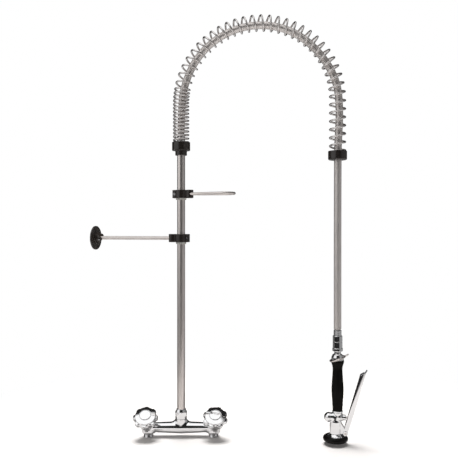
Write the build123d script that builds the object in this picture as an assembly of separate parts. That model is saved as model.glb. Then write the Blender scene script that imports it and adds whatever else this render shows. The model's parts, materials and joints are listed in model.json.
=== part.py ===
from build123d import *
import math
import os

# Two-handle bridge tap with a tall riser, a sprung hose arch and a hanging spray gun.
# Millimetres. Z is up and the riser stands on the Z axis. X runs from the hot side to the cold side,
# the user stands on the -Y side, and Z = 0 is the lower end of the two supply tails.

os.makedirs("parts", exist_ok=True)

# Fits, as radial room or as the gap between two faces
close_fit = 0.05        # pieces screwed or pushed together for good
running_fit = 0.08      # pieces that turn or slide on each other
face_gap = 0.3          # faces that move past each other
water_gap = 0.2         # hidden faces inside the valves

# Supply tails
inlet_centres = 180.0
tail_radius = 13.2
tail_bore = 8.5
tail_stub = 8.5         # below the body
tail_grip = 13.0        # inside the body
tail_grip_radius = 11.0
washer_thickness = 2.0
washer_bore = 9.5

# Mixer body
foot_radius = 18.0
foot_rounding = 6.0
bar_height = 25.0
bar_end_radius = 12.5
bar_middle_radius = 16.5
boss_radius = 14.5
boss_top = 50.5
boss_blend = 9.0
outlet_thread_radius = 13.2
outlet_thread_height = 10.5
outlet_socket_radius = 11.9
outlet_socket_depth = 31.0

# Valves, measured along their own axis from the bar's centre line
valve_centres = 190.6
valve_tilt = 52.5       # degrees above the horizontal, towards the user
valve_root_radius = 15.0
valve_boss_radius = 21.5
valve_boss_length = 30.0
valve_floor = 9.0
counterbore_radius = 14.5
counterbore_depth = 6.0
headwork_thread_radius = 10.5
headwork_hex = 24.0     # across flats
headwork_hex_height = 7.0
headwork_neck_radius = 7.5
headwork_neck_height = 4.0
disc_radius = 7.8
disc_thickness = 3.0
port_radius = 2.2
port_offset = 4.2
spindle_radius = 4.0
spindle_flange_radius = 7.2
spindle_flange_height = 1.5
key_length = 9.0
key_width = 2.4
key_depth = 1.2

# Knobs
knob_clearance = 1.0    # over the headwork's hexagon
knob_base_radius = 19.0
knob_flare_radius = 29.3
knob_flare_height = 4.0
knob_rim_radius = 34.0
knob_rim_height = 12.0
knob_lobes = 8
cold_knob_turn = 26.0    # degrees, from the way that the hot one stands
scallop_radius = 12.0
scallop_centre = 41.5
knob_face_radius = 28.0
knob_face_height = 7.5
knob_face_fall = 3.0    # of the sloping ring round the cap
knob_face_bevel = 1.5
knob_cap_rim = 0.6      # flat edge round the cap
knob_web = 1.9          # between the spindle's end and the screw's head
cap_radius = 15.5
cap_depth = 3.0
cap_dome = 1.3
cap_half_dome = 1.0     # half-way out
knob_screw_radius = 2.4
knob_screw_length = 10.0
screw_head_radius = 4.0
screw_head_height = 2.8

# Riser
riser_radius = 11.0
riser_bore = 9.5
riser_top = 806.0
riser_tail_radius = 11.6
riser_tail_bore = 7.0
riser_tail_spigot = 12.0
bead_radius = 13.0
bead_height = 2.7
seal_drops = (24.0, 16.0)   # below the outlet's top
seal_height = 2.4
seal_groove_radius = 10.2
seal_radius = 11.75
nut_collar_radius = 16.0
nut_collar_height = 7.2
nut_hex = 32.0
nut_hex_height = 11.0
nut_cone_height = 8.0
nut_cone_base_radius = 15.5
nut_cone_top_radius = 12.6

# Spring collar on top of the riser
coil_wall = 2.05        # wall of the collar and of the cup round the spring
collar_sleeve_radius = 16.1
collar_sleeve_height = 13.4
collar_floor = 5.1
collar_bevel = 1.0
collar_cavity_depth = 18.2
collar_cover = 9.0      # riser pipe above the collar's floor
grub_radius = 2.4
grub_socket = 2.5       # across flats
grub_socket_depth = 2.0

# Hose ends
riser_hose_nut_hex = 27.0
riser_hose_nut_height = 19.0
riser_hose_nut_plate = 5.8
riser_hose_nut_gap = 1.0   # above the collar's floor
gasket_thickness = 2.5
gasket_radius = 10.1
gasket_bore = 6.0
ferrule_flange_radius = 10.1
ferrule_flange_height = 2.4
ferrule_neck_radius = 8.0
ferrule_radius = 11.2
ferrule_length = 20.7
ferrule_bore = 5.0
gun_ferrule_radius = 10.6
gun_ferrule_length = 14.7

# Hose arch, in a plane through the riser
arch_swing = -8.0       # degrees about the riser, towards the user
arch_span = 427.5
crown_height = 922.0    # of the arch's centre
hose_radius = 10.0
hose_sides = 10
bend_share = 0.45       # of the shorter run beside each bend
arch_route = [
    (0, 862), (1.5, 900), (5.5, 962), (37.1, 1039.5), (95.5, 1097.9), (171.7, 1129.5),
    (254.3, 1129.5), (330.5, 1097.9), (391, 1036), (427, 968), (433.5, 893), (430, 822), (427.5, 770),
]

# Support spring
coil_radius = 20.25     # to the wire's centre
coil_wire_radius = 2.4
coil_sides = 4
coil_seat_gap = 0.25
end_turns = 1
end_pitch = 5.6
close_turns = 16
close_pitch = 9.9
open_turns = 35

# Spring cup at the hanging end
cup_height = 759.4
cup_floor = 6.6
cup_cavity_depth = 17.2
cup_bevel = 3.0
cup_hose_room = 0.5

# Clamps on the riser
clamp_radius = 16.5
clamp_height = 22.7
clamp_bevel = 1.0
bush_wall = 2.5
bush_lip_width = 0.7
bush_lip_height = 4.5
bush_split = 1.5
arm_half_width = 7.25
bulb_reach = 25.5
bulb_radius = 10.0
ear_reach = 23.0
ear_half_width = 8.0
ear_split = 2.4
ear_split_end = 12.0
clamp_screw_reach = 18.0
clamp_screw_radius = 2.5
clamp_screw_length = 10.0
clamp_screw_head_radius = 4.0
clamp_screw_head_height = 3.8

# Hook
hook_height = 671.5
hook_azimuth = -16.0
hook_wire_radius = 3.75
hook_sides = 10
hook_loop_ease = 0.995  # share of the radius, which keeps a short straight half-way round
hook_leg_offset = 5.5
hook_leg_start = 21.5
hook_leg_bend = 40.0
hook_bend_radius = 30.0
hook_loop_radius = 24.0
hook_loop_centre = 128.25

# Stay to the wall
stay_height = 549.5
stay_azimuth = 166.5
rod_radius = 5.0
rod_start = 18.0
wall_distance = 259.0
flange_radius = 34.0
flange_thickness = 5.0
flange_bevel = 1.2
hub_step_radius = 15.0
hub_step_height = 13.0
hub_bevel = 1.0
hub_radius = 13.5
hub_height = 21.5
hub_nose_radius = 7.3
hub_nose_height = 24.0
rod_socket_floor = 6.2
flange_pitch_circle = 48.0
flange_hole_radius = 2.6
flange_hole_count = 2
flange_hole_angle = 22.0
countersink_radius = 5.0
flange_screw_angle = 114.0
flange_screw_level = 17.5

# Gun, down from the hose. Its own frame has X away from the riser.
gun_top = 304.3         # lower end of the hose
hose_nut_radius = 12.85
hose_nut_plate = 9.1
hose_nut_length = 33.1
hose_nut_groove = 1.4
hose_nut_groove_depth = 0.9
inlet_thread_radius = 10.3
inlet_thread_length = 18.9
inlet_ring_radius = 13.8
inlet_ring_height = 8.0
inlet_ring_bevel = 1.0
inlet_neck_radius = 8.7
inlet_neck_length = 6.6
shoulder_radius = 16.35
shoulder_height = 17.4
shoulder_slope = 10.0
shoulder_crown_radius = 13.1
shoulder_crown_drop = 3.0
handle_radius = 8.0
handle_bore = 5.5
handle_grip = 8.0       # screwed into the shoulder
handle_tail = 6.7       # screwed into the valve body
grip_length = 135.1
grip_top_radius = 16.6
grip_bead_radius = 17.15
grip_neck_radius = 13.9
grip_waist_radius = 13.0
grip_swell_radius = 14.7
grip_belly_radius = 16.05
grip_taper_radius = 14.6
grip_foot_radius = 12.85
grip_bead_drop = 5.3    # drops from the grip's top
grip_neck_drop = 15.8
grip_waist_drop = 27.5
grip_swell_drop = 53.3
grip_belly_drop = 78.0
grip_taper_drop = 107.0
grip_ring_radius = 13.9
grip_ring_height = 3.9

# Valve in the gun
valve_socket_radius = 13.0
valve_socket_height = 18.8
chamber_drop = 14.3     # from the socket's top to the valve's axis
chamber_radius = 12.5
chamber_back = -20.7
chamber_front = 8.0
nose_radius = 9.5
nose_end = 13.4
chamber_bore = 9.5
valve_seat = -10.0
seat_bore = 5.0
seat_room_end = 2.0
passage_radius = 1.8
passage_reach = 12.0    # from the handle's axis into the chamber
passage_slope = 2.5
spray_offset = -5.4
spray_barrel_radius = 15.25
spray_barrel_top_radius = 11.0
spray_barrel_height = 36.0
spray_barrel_drop = 2.0 # below the lever's pin
spray_barrel_slope = 10.0
spray_spigot_radius = 9.0
spray_spigot_height = 9.0
spray_bore = 4.0
dome_radius = 13.0
dome_skirt = 2.2
dome_spigot_length = 3.5
dome_bore = 8.0
dome_bore_end = -27.0
dome_spring_bore = 7.2
dome_floor = -31.0
stem_radius = 2.5
stem_tail = -16.0
stem_tip = 2.5
stem_slack = 0.4        # before the lever touches the stem
stem_flange_radius = 7.5
stem_flange_thickness = 2.0
seat_washer_thickness = 2.9
valve_spring_radius = 6.8
valve_spring_bore = 5.6
packing_radius = 6.0
packing_start = 3.2
packing_head_radius = 7.5
packing_head_end = 22.0
packing_bevel = 1.5
stem_seal_radius = 4.5
stem_seal_length = 4.2

# Squeeze lever
lever_pivot_reach = 20.3
lever_pivot_height = 30.0
lever_lean = 16.3       # degrees off the vertical
lever_length = 170.0
lever_tip_length = 9.0
lever_tip_width = 15.2
lever_tip_bend = 16.0   # degrees
lever_foot_radius = 6.5
lever_half_depth = 6.0
lever_sheet = 1.5
lever_inside = 16.0
lever_web_start = 12.0
lug_half_width = 7.7
lug_radius = 6.0
lug_rise = 22.0
lug_shoulder = 4.2      # beyond and above the pin
lug_heel = 2.4          # below the pin
lever_pin_radius = 2.0
lever_pin_head_radius = 3.2
lever_pin_head_height = 0.8

# Spray head, round the axis of the spray barrel
dish_radius = 24.0
dish_neck_radius = 15.5
dish_rim_height = 20.6
dish_rim = 1.2
dish_sag = 1.1          # of its hollow flank
dish_skirt_radius = 20.5
dish_skirt_bottom = 9.5
dish_floor = 17.0
spray_face_thickness = 2.8
spray_face_radius = 18.4
spray_hole_radius = 1.2
spray_ring_counts = (6, 12)
spray_ring_radii = (6.5, 13.0)
bumper_ring_radius = 25.4
bumper_half_width = 7.9
bumper_centre = 14.6
bumper_facets = 8

# Lock ring on the gun's shoulder
lock_ring_radius = 20.6
lock_wire_radius = 2.0
lock_ring_sides = 6
lock_tilt = 18.9
lock_tail = 11.3
lock_tail_rise = 2.8
lock_stub_depth = 4.0
lock_pivot_rise = 3.5   # above the shoulder's lower face

base = (Align.CENTER, Align.CENTER, Align.MIN)
chamfer_mid = 1 - math.cos(math.radians(45))


def post(radius, low, high):
    # Upright cylinder on the Z axis between two heights
    return Pos(0, 0, low) * Cylinder(radius, high - low, align=base)


def tube(outer, inner, low, high):
    return post(outer, low, high) - post(inner, low, high)


def cone(low_radius, high_radius, low, high):
    return Pos(0, 0, low) * Cone(low_radius, high_radius, high - low, align=base)


def hexagon(across_flats, low, high):
    return Pos(0, 0, low) * extrude(RegularPolygon(across_flats / 2, 6, major_radius=False), high - low)


def turned(*profile):
    # Solid of revolution about Z, from points of radius and height
    return revolve(Plane.XZ * make_face(Polyline(*profile, close=True)), Axis.Z)


def lying(radius, start, end, height):
    # Cylinder along X between two reaches
    return Pos(start, 0, height) * Rot(0, 90, 0) * Cylinder(radius, end - start, align=base)


def across(radius, start, end):
    # Cylinder along Y between two sides
    return Pos(0, start, 0) * Rot(-90, 0, 0) * Cylinder(radius, end - start, align=base)


def swept(path, radius, sides):
    section = Plane(origin=path @ 0, z_dir=path % 0) * RegularPolygon(radius, sides)
    return sweep(section, path=path, clean=False)


pieces = {}


def keep(name, *solids):
    solids = [solid for shape in solids for solid in shape.solids()]
    pieces[name] = solids[0] if len(solids) == 1 else Compound(children=solids)


# Mixer body and its supply

tail_top = tail_stub + tail_grip
tail_socket_top = tail_top + washer_thickness
outlet_top = boss_top + outlet_thread_height
outlet_socket_floor = outlet_top - outlet_socket_depth
headwork_hex_base = valve_boss_length - counterbore_depth
headwork_hex_top = headwork_hex_base + headwork_hex_height
headwork_top = headwork_hex_top + headwork_neck_height


def valve_frame(side):
    # Origin on the bar's centre line, Z along the valve's axis and Y up its face
    tilt = math.radians(valve_tilt)
    axis = (0, -math.cos(tilt), math.sin(tilt))
    return Plane(origin=(side * valve_centres / 2, 0, bar_height), x_dir=(1, 0, 0), z_dir=axis).location


def foot():
    side_low = tail_stub + foot_rounding
    mid = foot_rounding * chamfer_mid
    shell = turned(
        (0, tail_stub), (foot_radius - foot_rounding, tail_stub), (foot_radius - mid, tail_stub + mid),
        (foot_radius, side_low), (foot_radius, bar_height), (0, bar_height))
    return shell + Pos(0, 0, bar_height) * Sphere(foot_radius, arc_size1=0, align=base)


def bar():
    half = cone(bar_middle_radius, bar_end_radius, 0, inlet_centres / 2)
    return Pos(0, 0, bar_height) * (Rot(0, 90, 0) * half + Rot(0, -90, 0) * half)


def mixer_body():
    body = bar() + post(boss_radius, bar_height, boss_top)
    seams = body.edges().filter_by(lambda edge: edge.center().Z > bar_height + bar_end_radius)
    seams = seams.filter_by(lambda edge: edge.bounding_box().max.Z < boss_top - face_gap)
    seams = seams.filter_by(lambda edge: edge.bounding_box().size.X < 2 * (boss_radius + face_gap))
    body = fillet(seams, boss_blend)
    body += post(outlet_thread_radius, boss_top, outlet_top)
    for side in (-1, 1):
        body += Pos(side * inlet_centres / 2, 0, 0) * foot()
        body += valve_frame(side) * cone(valve_root_radius, valve_boss_radius, 0, valve_boss_length)
    body -= post(outlet_socket_radius, outlet_socket_floor, outlet_top)
    for side in (-1, 1):
        tail_socket = post(tail_grip_radius + close_fit, tail_stub, tail_socket_top)
        body -= Pos(side * inlet_centres / 2, 0, 0) * tail_socket
        body -= valve_frame(side) * post(headwork_thread_radius + close_fit, valve_floor, valve_boss_length)
        body -= valve_frame(side) * post(counterbore_radius, headwork_hex_base, valve_boss_length)
    return body


def inlet_tail(side):
    tail = tube(tail_radius, tail_bore, 0, tail_stub) + tube(tail_grip_radius, tail_bore, tail_stub, tail_top)
    return Pos(side * inlet_centres / 2, 0, 0) * tail


def inlet_washer(side):
    washer = tube(tail_grip_radius, washer_bore, tail_top, tail_socket_top)
    return Pos(side * inlet_centres / 2, 0, 0) * washer


keep("mixer_body", mixer_body())
keep("hot_inlet_tail", inlet_tail(-1))
keep("cold_inlet_tail", inlet_tail(1))
keep("inlet_washers", inlet_washer(-1), inlet_washer(1))

# Valves: a fixed and a moving ceramic disc, the spindle that turns it and the knob on its end

fixed_disc_base = valve_floor + water_gap
moving_disc_base = fixed_disc_base + disc_thickness + water_gap
stop_base = moving_disc_base + disc_thickness + water_gap
stop_top = stop_base + spindle_flange_height
disc_chamber_top = stop_top + water_gap
disc_chamber_radius = disc_radius + water_gap
knob_base = headwork_hex_top + knob_clearance
rim_base = knob_base + knob_flare_height
rim_top = rim_base + knob_rim_height
knob_top = rim_top + knob_face_height
cap_seat = knob_top - cap_depth
spindle_top = rim_top - knob_web


def headwork():
    body = post(headwork_thread_radius, valve_floor, headwork_hex_base)
    body += hexagon(headwork_hex, headwork_hex_base, headwork_hex_top)
    body += post(headwork_neck_radius, headwork_hex_top, headwork_top)
    body -= post(disc_chamber_radius, valve_floor, disc_chamber_top)
    return body - post(spindle_radius + running_fit, disc_chamber_top, headwork_top)


def fixed_disc():
    disc = post(disc_radius, fixed_disc_base, fixed_disc_base + disc_thickness)
    port = post(port_radius, fixed_disc_base, fixed_disc_base + disc_thickness)
    for side in (-1, 1):
        disc -= Pos(side * port_offset, 0, 0) * port
    return disc


def moving_disc():
    top = moving_disc_base + disc_thickness
    reach = port_offset + port_radius
    disc = post(disc_radius, moving_disc_base, top)
    port = post(reach, moving_disc_base, top)
    port -= Pos(0, -reach + key_width, top) * Box(2 * reach, 2 * reach, 2 * (disc_thickness + water_gap))
    slot = Box(key_length + water_gap, key_width + water_gap, 2 * key_depth)
    return disc - port - Pos(0, 0, top) * slot


def spindle():
    body = post(spindle_flange_radius, stop_base, stop_top) + post(spindle_radius, stop_top, spindle_top)
    body += Pos(0, 0, stop_base) * Box(key_length, key_width, 2 * key_depth)
    return body - post(knob_screw_radius + close_fit, rim_top - knob_screw_length - face_gap, spindle_top)


def knob(turn):
    rim = post(knob_rim_radius, rim_base, rim_top)
    for lobe in range(knob_lobes):
        place = Rot(0, 0, turn + (lobe + 0.5) * 360 / knob_lobes) * Pos(scallop_centre, 0, 0)
        rim -= place * post(scallop_radius, rim_base, rim_top)
    slope_base = knob_top - knob_face_fall
    face = turned(
        (0, rim_top), (knob_face_radius, rim_top), (knob_face_radius, slope_base - knob_face_bevel),
        (knob_face_radius - knob_face_bevel, slope_base), (cap_radius + knob_cap_rim, knob_top),
        (0, knob_top))
    body = cone(knob_base_radius, knob_flare_radius, knob_base, rim_base) + rim + face
    body -= post(headwork_neck_radius + knob_clearance, knob_base, headwork_top + knob_clearance)
    body -= post(spindle_radius + close_fit, knob_base, spindle_top)
    body -= post(knob_screw_radius + close_fit, spindle_top, rim_top)
    body -= post(screw_head_radius + close_fit, rim_top, cap_seat)
    return body - post(cap_radius + close_fit, cap_seat, knob_top)


def knob_cap():
    return turned(
        (0, cap_seat), (cap_radius, cap_seat), (cap_radius, knob_top),
        (cap_radius / 2, knob_top + cap_half_dome), (0, knob_top + cap_dome))


def knob_screw():
    shank = post(knob_screw_radius, rim_top - knob_screw_length, rim_top)
    socket = hexagon(screw_head_radius, rim_top + screw_head_height / 2, rim_top + screw_head_height)
    return shank + post(screw_head_radius, rim_top, rim_top + screw_head_height) - socket


for side, name, turn in ((-1, "hot", 0), (1, "cold", cold_knob_turn)):
    frame = valve_frame(side)
    keep(name + "_headwork", frame * headwork())
    keep(name + "_disc", frame * moving_disc())
    keep(name + "_spindle", frame * spindle())
    keep(name + "_knob", frame * knob(turn))
    keep(name + "_cap", frame * knob_cap())
    keep(name + "_knob_screw", frame * knob_screw())
keep("ceramic_seats", valve_frame(-1) * fixed_disc(), valve_frame(1) * fixed_disc())

# Riser, which swivels in the mixer's outlet under the nut

bead_base = outlet_top + face_gap
riser_base = bead_base + bead_height
nut_base = boss_top + face_gap
nut_hex_base = nut_base + nut_collar_height
nut_cone_base = nut_hex_base + nut_hex_height
nut_top = nut_cone_base + nut_cone_height
seal_levels = [outlet_top - drop for drop in seal_drops]


def riser_nut():
    body = post(nut_collar_radius, nut_base, nut_hex_base) + hexagon(nut_hex, nut_hex_base, nut_cone_base)
    body += cone(nut_cone_base_radius, nut_cone_top_radius, nut_cone_base, nut_top)
    body -= post(outlet_thread_radius + close_fit, nut_base, riser_base + face_gap)
    return body - post(riser_radius + running_fit, riser_base, nut_top)


def riser_tail():
    spigot_radius = riser_bore - close_fit
    body = post(riser_tail_radius, outlet_socket_floor + face_gap, bead_base)
    body += post(bead_radius, bead_base, riser_base)
    body += post(spigot_radius, riser_base, riser_base + riser_tail_spigot)
    for level in seal_levels:
        body -= tube(riser_tail_radius, seal_groove_radius, level, level + seal_height)
    return body - post(riser_tail_bore, outlet_socket_floor, riser_base + riser_tail_spigot)


def riser_seal(level):
    return tube(seal_radius, seal_groove_radius + close_fit, level, level + seal_height)


keep("riser_nut", riser_nut())
keep("riser_tail", riser_tail())
keep("riser_seals", *[riser_seal(level) for level in seal_levels])
keep("riser_pipe", tube(riser_radius, riser_bore, riser_base, riser_top))

# Collar that carries the spring, and the hose's connection inside it

coil_outer = coil_radius + coil_wire_radius
cavity_radius = coil_outer + face_gap
rim_radius = cavity_radius + coil_wall
collar_cavity_floor = riser_top - collar_cover
collar_ring_base = collar_cavity_floor - collar_floor
collar_base = collar_ring_base - collar_sleeve_height
collar_screw_height = (collar_base + collar_ring_base) / 2
riser_hose_nut_base = collar_cavity_floor + riser_hose_nut_gap
riser_hose_nut_top = riser_hose_nut_base + riser_hose_nut_height
riser_hose_nut_floor = riser_hose_nut_top - riser_hose_nut_plate
riser_gasket_top = riser_top + gasket_thickness


def spring_collar():
    body = turned(
        (0, collar_base), (collar_sleeve_radius, collar_base), (collar_sleeve_radius, collar_ring_base),
        (rim_radius - collar_bevel, collar_ring_base), (rim_radius, collar_ring_base + collar_bevel),
        (rim_radius, collar_cavity_floor + collar_cavity_depth),
        (cavity_radius, collar_cavity_floor + collar_cavity_depth), (cavity_radius, collar_cavity_floor),
        (0, collar_cavity_floor))
    body -= post(riser_radius + close_fit, collar_base, collar_cavity_floor)
    hole = across(grub_radius + close_fit, 0, collar_sleeve_radius + collar_bevel)
    return body - Pos(0, 0, collar_screw_height) * hole


def grub_screw(start, end):
    # Headless screw along Y, with its hexagon socket at the far end
    socket = Pos(0, end, 0) * Rot(90, 0, 0) * hexagon(grub_socket, 0, grub_socket_depth)
    return across(grub_radius, start, end) - socket


def riser_hose_nut():
    body = hexagon(riser_hose_nut_hex, riser_hose_nut_base, riser_hose_nut_top)
    body -= post(riser_radius + close_fit, riser_hose_nut_base, riser_hose_nut_floor)
    return body - post(ferrule_neck_radius + water_gap, riser_hose_nut_floor, riser_hose_nut_top)


def ferrule(low, plate_top, radius, length):
    # Hose end: flange under the nut's plate, neck through it and crimped shell over the hose
    shell = plate_top + face_gap
    rim = low + ferrule_flange_height
    return turned(
        (ferrule_bore, low), (ferrule_flange_radius, low), (ferrule_flange_radius, rim),
        (ferrule_neck_radius, rim), (ferrule_neck_radius, shell), (radius, shell),
        (radius, shell + length), (ferrule_bore, shell + length))


riser_ferrule_top = riser_hose_nut_top + face_gap + ferrule_length
keep("spring_collar", spring_collar())
collar_screw = grub_screw(riser_radius, collar_sleeve_radius - face_gap)
keep("collar_screw", Pos(0, 0, collar_screw_height) * collar_screw)
keep("riser_hose_nut", riser_hose_nut())
keep("hose_gasket", tube(gasket_radius, gasket_bore, riser_top, riser_gasket_top))

# Gun levels, downwards from the end of the hose

arch_plane = Rot(0, 0, arch_swing)
gun_frame = arch_plane * Pos(arch_span, 0, 0)
gun_nut_top = gun_top - gun_ferrule_length - face_gap
gun_nut_plate = gun_nut_top - hose_nut_plate
gun_nut_base = gun_nut_top - hose_nut_length
gun_flange_base = gun_nut_plate - water_gap - ferrule_flange_height
gun_gasket_base = gun_flange_base - gasket_thickness
inlet_ring_top = gun_gasket_base - inlet_thread_length
inlet_ring_base = inlet_ring_top - inlet_ring_height
shoulder_top = inlet_ring_base - inlet_neck_length
shoulder_base = shoulder_top - shoulder_height
handle_top = shoulder_base + handle_grip
grip_top = shoulder_base - close_fit
grip_base = grip_top - grip_length
valve_socket_top = grip_base - grip_ring_height
handle_base = valve_socket_top - handle_tail
valve_axis = valve_socket_top - chamber_drop


def gun_ferrule():
    # The hose hangs from above here too, so this end is the same way up
    return gun_frame * ferrule(gun_flange_base, gun_nut_top, gun_ferrule_radius, gun_ferrule_length)


riser_ferrule = ferrule(riser_gasket_top, riser_hose_nut_top, ferrule_radius, ferrule_length)
keep("hose_ferrules", riser_ferrule, gun_ferrule())

# Supply hose, drawn tight by the gun's weight below the arch

route = [(0, riser_ferrule_top), *arch_route, (arch_span, gun_top)]


def bend_radii(points):
    # Each arc is as large as the shorter of its two runs allows
    radii = []
    for before, corner, after in zip(points, points[1:], points[2:]):
        run_in = Vector(*corner) - Vector(*before)
        run_out = Vector(*after) - Vector(*corner)
        half_turn = math.radians(run_in.get_angle(run_out)) / 2
        radii.append(bend_share * min(run_in.length, run_out.length) / math.tan(half_turn))
    return radii


def supply_hose():
    radii = bend_radii(route)
    path = FilletPolyline(*[(reach, 0, height) for reach, height in route], radius=radii)
    hose = swept(path, hose_radius, hose_sides)
    section = RegularPolygon(hose_radius, hose_sides).area
    print("hose length", round(path.length, 1), "volume over section", round(hose.volume / section, 1))
    print("hose radii", [round(radius) for radius in radii])
    return arch_plane * hose


keep("supply_hose", supply_hose())

# Support spring: one wire wound round the arch's centre line, as two arcs for each half turn

arch_radius = arch_span / 2
cup_cavity_floor = cup_height + cup_floor
spring_start = collar_cavity_floor + coil_wire_radius + coil_seat_gap
spring_end = cup_cavity_floor + coil_wire_radius + coil_seat_gap
rise = crown_height - spring_start
crown = math.pi * arch_radius
spring_travel = rise + crown + crown_height - spring_end
end_travel = end_turns * end_pitch
close_travel = close_turns * close_pitch
open_pitch = (spring_travel - 2 * end_travel - close_travel) / open_turns
spring_turns = 2 * end_turns + close_turns + open_turns


def guide(distance):
    # Point on the arch's centre line, with its inward and forward directions
    if distance < rise:
        return Vector(0, 0, spring_start + distance), Vector(1, 0, 0)
    if distance < rise + crown:
        angle = (distance - rise) / arch_radius
        inward = Vector(math.cos(angle), 0, -math.sin(angle))
        return Vector(arch_radius, 0, crown_height) - inward * arch_radius, inward
    return Vector(arch_span, 0, crown_height - (distance - rise - crown)), Vector(-1, 0, 0)


def travel(turn):
    # Distance along the arch: closed end, close turns, open turns, closed end
    if turn < end_turns:
        return turn * end_pitch
    if turn < end_turns + close_turns:
        return end_travel + (turn - end_turns) * close_pitch
    if turn < spring_turns - end_turns:
        return end_travel + close_travel + (turn - end_turns - close_turns) * open_pitch
    return spring_travel - (spring_turns - turn) * end_pitch


def coil_point(turn):
    centre, inward = guide(travel(turn))
    angle = 2 * math.pi * turn
    return centre + (inward * math.cos(angle) + Vector(0, 1, 0) * math.sin(angle)) * coil_radius


def coil_tangent(turn, step=0.01):
    return (coil_point(turn + step) - coil_point(turn - step)).normalized()


def biarc(start, start_tangent, end, end_tangent):
    # Two arcs that join tangentially half-way
    chord = end - start
    both = start_tangent + end_tangent
    spread = 2 * (1 - start_tangent.dot(end_tangent))
    reach = chord.dot(both)
    arm = (math.sqrt(reach * reach + spread * chord.dot(chord)) - reach) / spread
    near = start + start_tangent * arm
    far = end - end_tangent * arm
    middle = (near + far) * 0.5
    return [Edge.make_tangent_arc(start, start_tangent, middle),
            Edge.make_tangent_arc(middle, (far - near).normalized(), end)]


def support_spring():
    edges = []
    for half in range(2 * spring_turns):
        start, end = half / 2, (half + 1) / 2
        edges += biarc(coil_point(start), coil_tangent(start), coil_point(end), coil_tangent(end))
    return arch_plane * swept(Wire(edges), coil_wire_radius, coil_sides)


def spring_gap(steps=16):
    # Least distance between the wire and its next turn, measured on points
    points = [coil_point(index / steps) for index in range(spring_turns * steps + 1)]
    gap = arch_span
    for index, point in enumerate(points):
        for other in points[index + steps * 3 // 4:index + steps * 5 // 4]:
            gap = min(gap, (other - point).length)
    return gap - 2 * coil_wire_radius


print("spring turns", spring_turns, "open pitch", round(open_pitch, 2), "least gap", round(spring_gap(), 2))
keep("support_spring", support_spring())


def spring_cup():
    top = cup_cavity_floor + cup_cavity_depth
    mid = cup_bevel * chamfer_mid
    cup = turned(
        (hose_radius + cup_hose_room, cup_height), (rim_radius - cup_bevel, cup_height),
        (rim_radius - mid, cup_height + mid), (rim_radius, cup_height + cup_bevel), (rim_radius, top),
        (cavity_radius, top), (cavity_radius, cup_cavity_floor),
        (hose_radius + cup_hose_room, cup_cavity_floor))
    return gun_frame * cup


keep("spring_cup", spring_cup())

# Clamps: a bush on the riser, and a moulding that grips it with its screwed ears

bush_radius = riser_radius + running_fit + bush_wall


def riser_bush(height):
    low = height - clamp_height / 2
    lip_top = low - face_gap
    body = post(bush_radius, lip_top, height + clamp_height / 2)
    body += post(bush_radius + bush_lip_width, lip_top - bush_lip_height, lip_top)
    body -= post(riser_radius + running_fit, lip_top - bush_lip_height, height + clamp_height / 2)
    split_depth = 2 * (bush_wall + bush_lip_width)
    return body - Pos(0, -bush_radius, height) * Box(bush_split, split_depth, 2 * clamp_height)


def clamp(height):
    # Ears towards -X and an arm with a round bulb towards +X
    half = clamp_height / 2
    body = post(clamp_radius, -half, half) + Pos(bulb_reach, 0, 0) * post(bulb_radius, -half, half)
    body += Pos(bulb_reach / 2, 0, 0) * Box(bulb_reach, 2 * arm_half_width, clamp_height)
    body += Pos(-ear_reach / 2, 0, 0) * Box(ear_reach, 2 * ear_half_width, clamp_height)
    for face in (body.faces().sort_by(Axis.Z)[-1], body.faces().sort_by(Axis.Z)[0]):
        body = chamfer(face.outer_wire().edges(), clamp_bevel)
    body -= post(bush_radius + running_fit, -half, half)
    ear_end = ear_reach + clamp_bevel
    body -= Pos(-(ear_end + ear_split_end) / 2, 0, 0) * Box(ear_end - ear_split_end, ear_split, clamp_height)
    seat = clamp_screw_head_height - ear_half_width
    screw = across(clamp_screw_radius + close_fit, -ear_half_width, ear_half_width)
    screw += across(clamp_screw_head_radius + close_fit, -ear_half_width, seat)
    return Pos(0, 0, height) * (body - Pos(-clamp_screw_reach, 0, 0) * screw)


def clamp_screw(height):
    seat = clamp_screw_head_height - ear_half_width
    head = across(clamp_screw_head_radius, -ear_half_width, seat)
    socket = Rot(-90, 0, 0) * hexagon(clamp_screw_head_radius, 0, grub_socket_depth)
    screw = head - Pos(0, -ear_half_width, 0) * socket
    screw += across(clamp_screw_radius, seat, seat + clamp_screw_length)
    return Pos(-clamp_screw_reach, 0, height) * screw


hook_frame = Rot(0, 0, hook_azimuth)
stay_frame = Rot(0, 0, stay_azimuth)


def hook_clamp():
    body = clamp(hook_height)
    for side in (-1, 1):
        leg = lying(hook_wire_radius + close_fit, hook_leg_start, bulb_reach + bulb_radius, hook_height)
        body -= Pos(0, side * hook_leg_offset, 0) * leg
    return body


def hook_loop():
    # Two legs from the clamp's bulb that spread into a round loop
    reach = hook_loop_centre - hook_leg_bend
    span = math.hypot(reach, hook_leg_offset)
    spread = math.asin(hook_loop_radius / span) - math.atan2(hook_leg_offset, reach)
    corner = hook_loop_radius * math.tan((math.pi / 2 + spread) / 2)
    end = hook_loop_centre + hook_loop_radius
    near_side = [(hook_leg_start, -hook_leg_offset), (hook_leg_bend, -hook_leg_offset), (end, -corner)]
    far_side = [(x, -y) for x, y in reversed(near_side)]
    points = [(x, y, hook_height) for x, y in near_side + far_side]
    loop_radius = hook_loop_ease * hook_loop_radius
    path = FilletPolyline(*points, radius=[hook_bend_radius, loop_radius, loop_radius, hook_bend_radius])
    return swept(path, hook_wire_radius, hook_sides)


keep("hook_bush", hook_frame * riser_bush(hook_height))
keep("hook_clamp", hook_frame * hook_clamp())
keep("hook_screw", hook_frame * clamp_screw(hook_height))
keep("hook_loop", hook_frame * hook_loop())

# Stay: the same clamp turned to the wall, a rod and a wall flange

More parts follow.
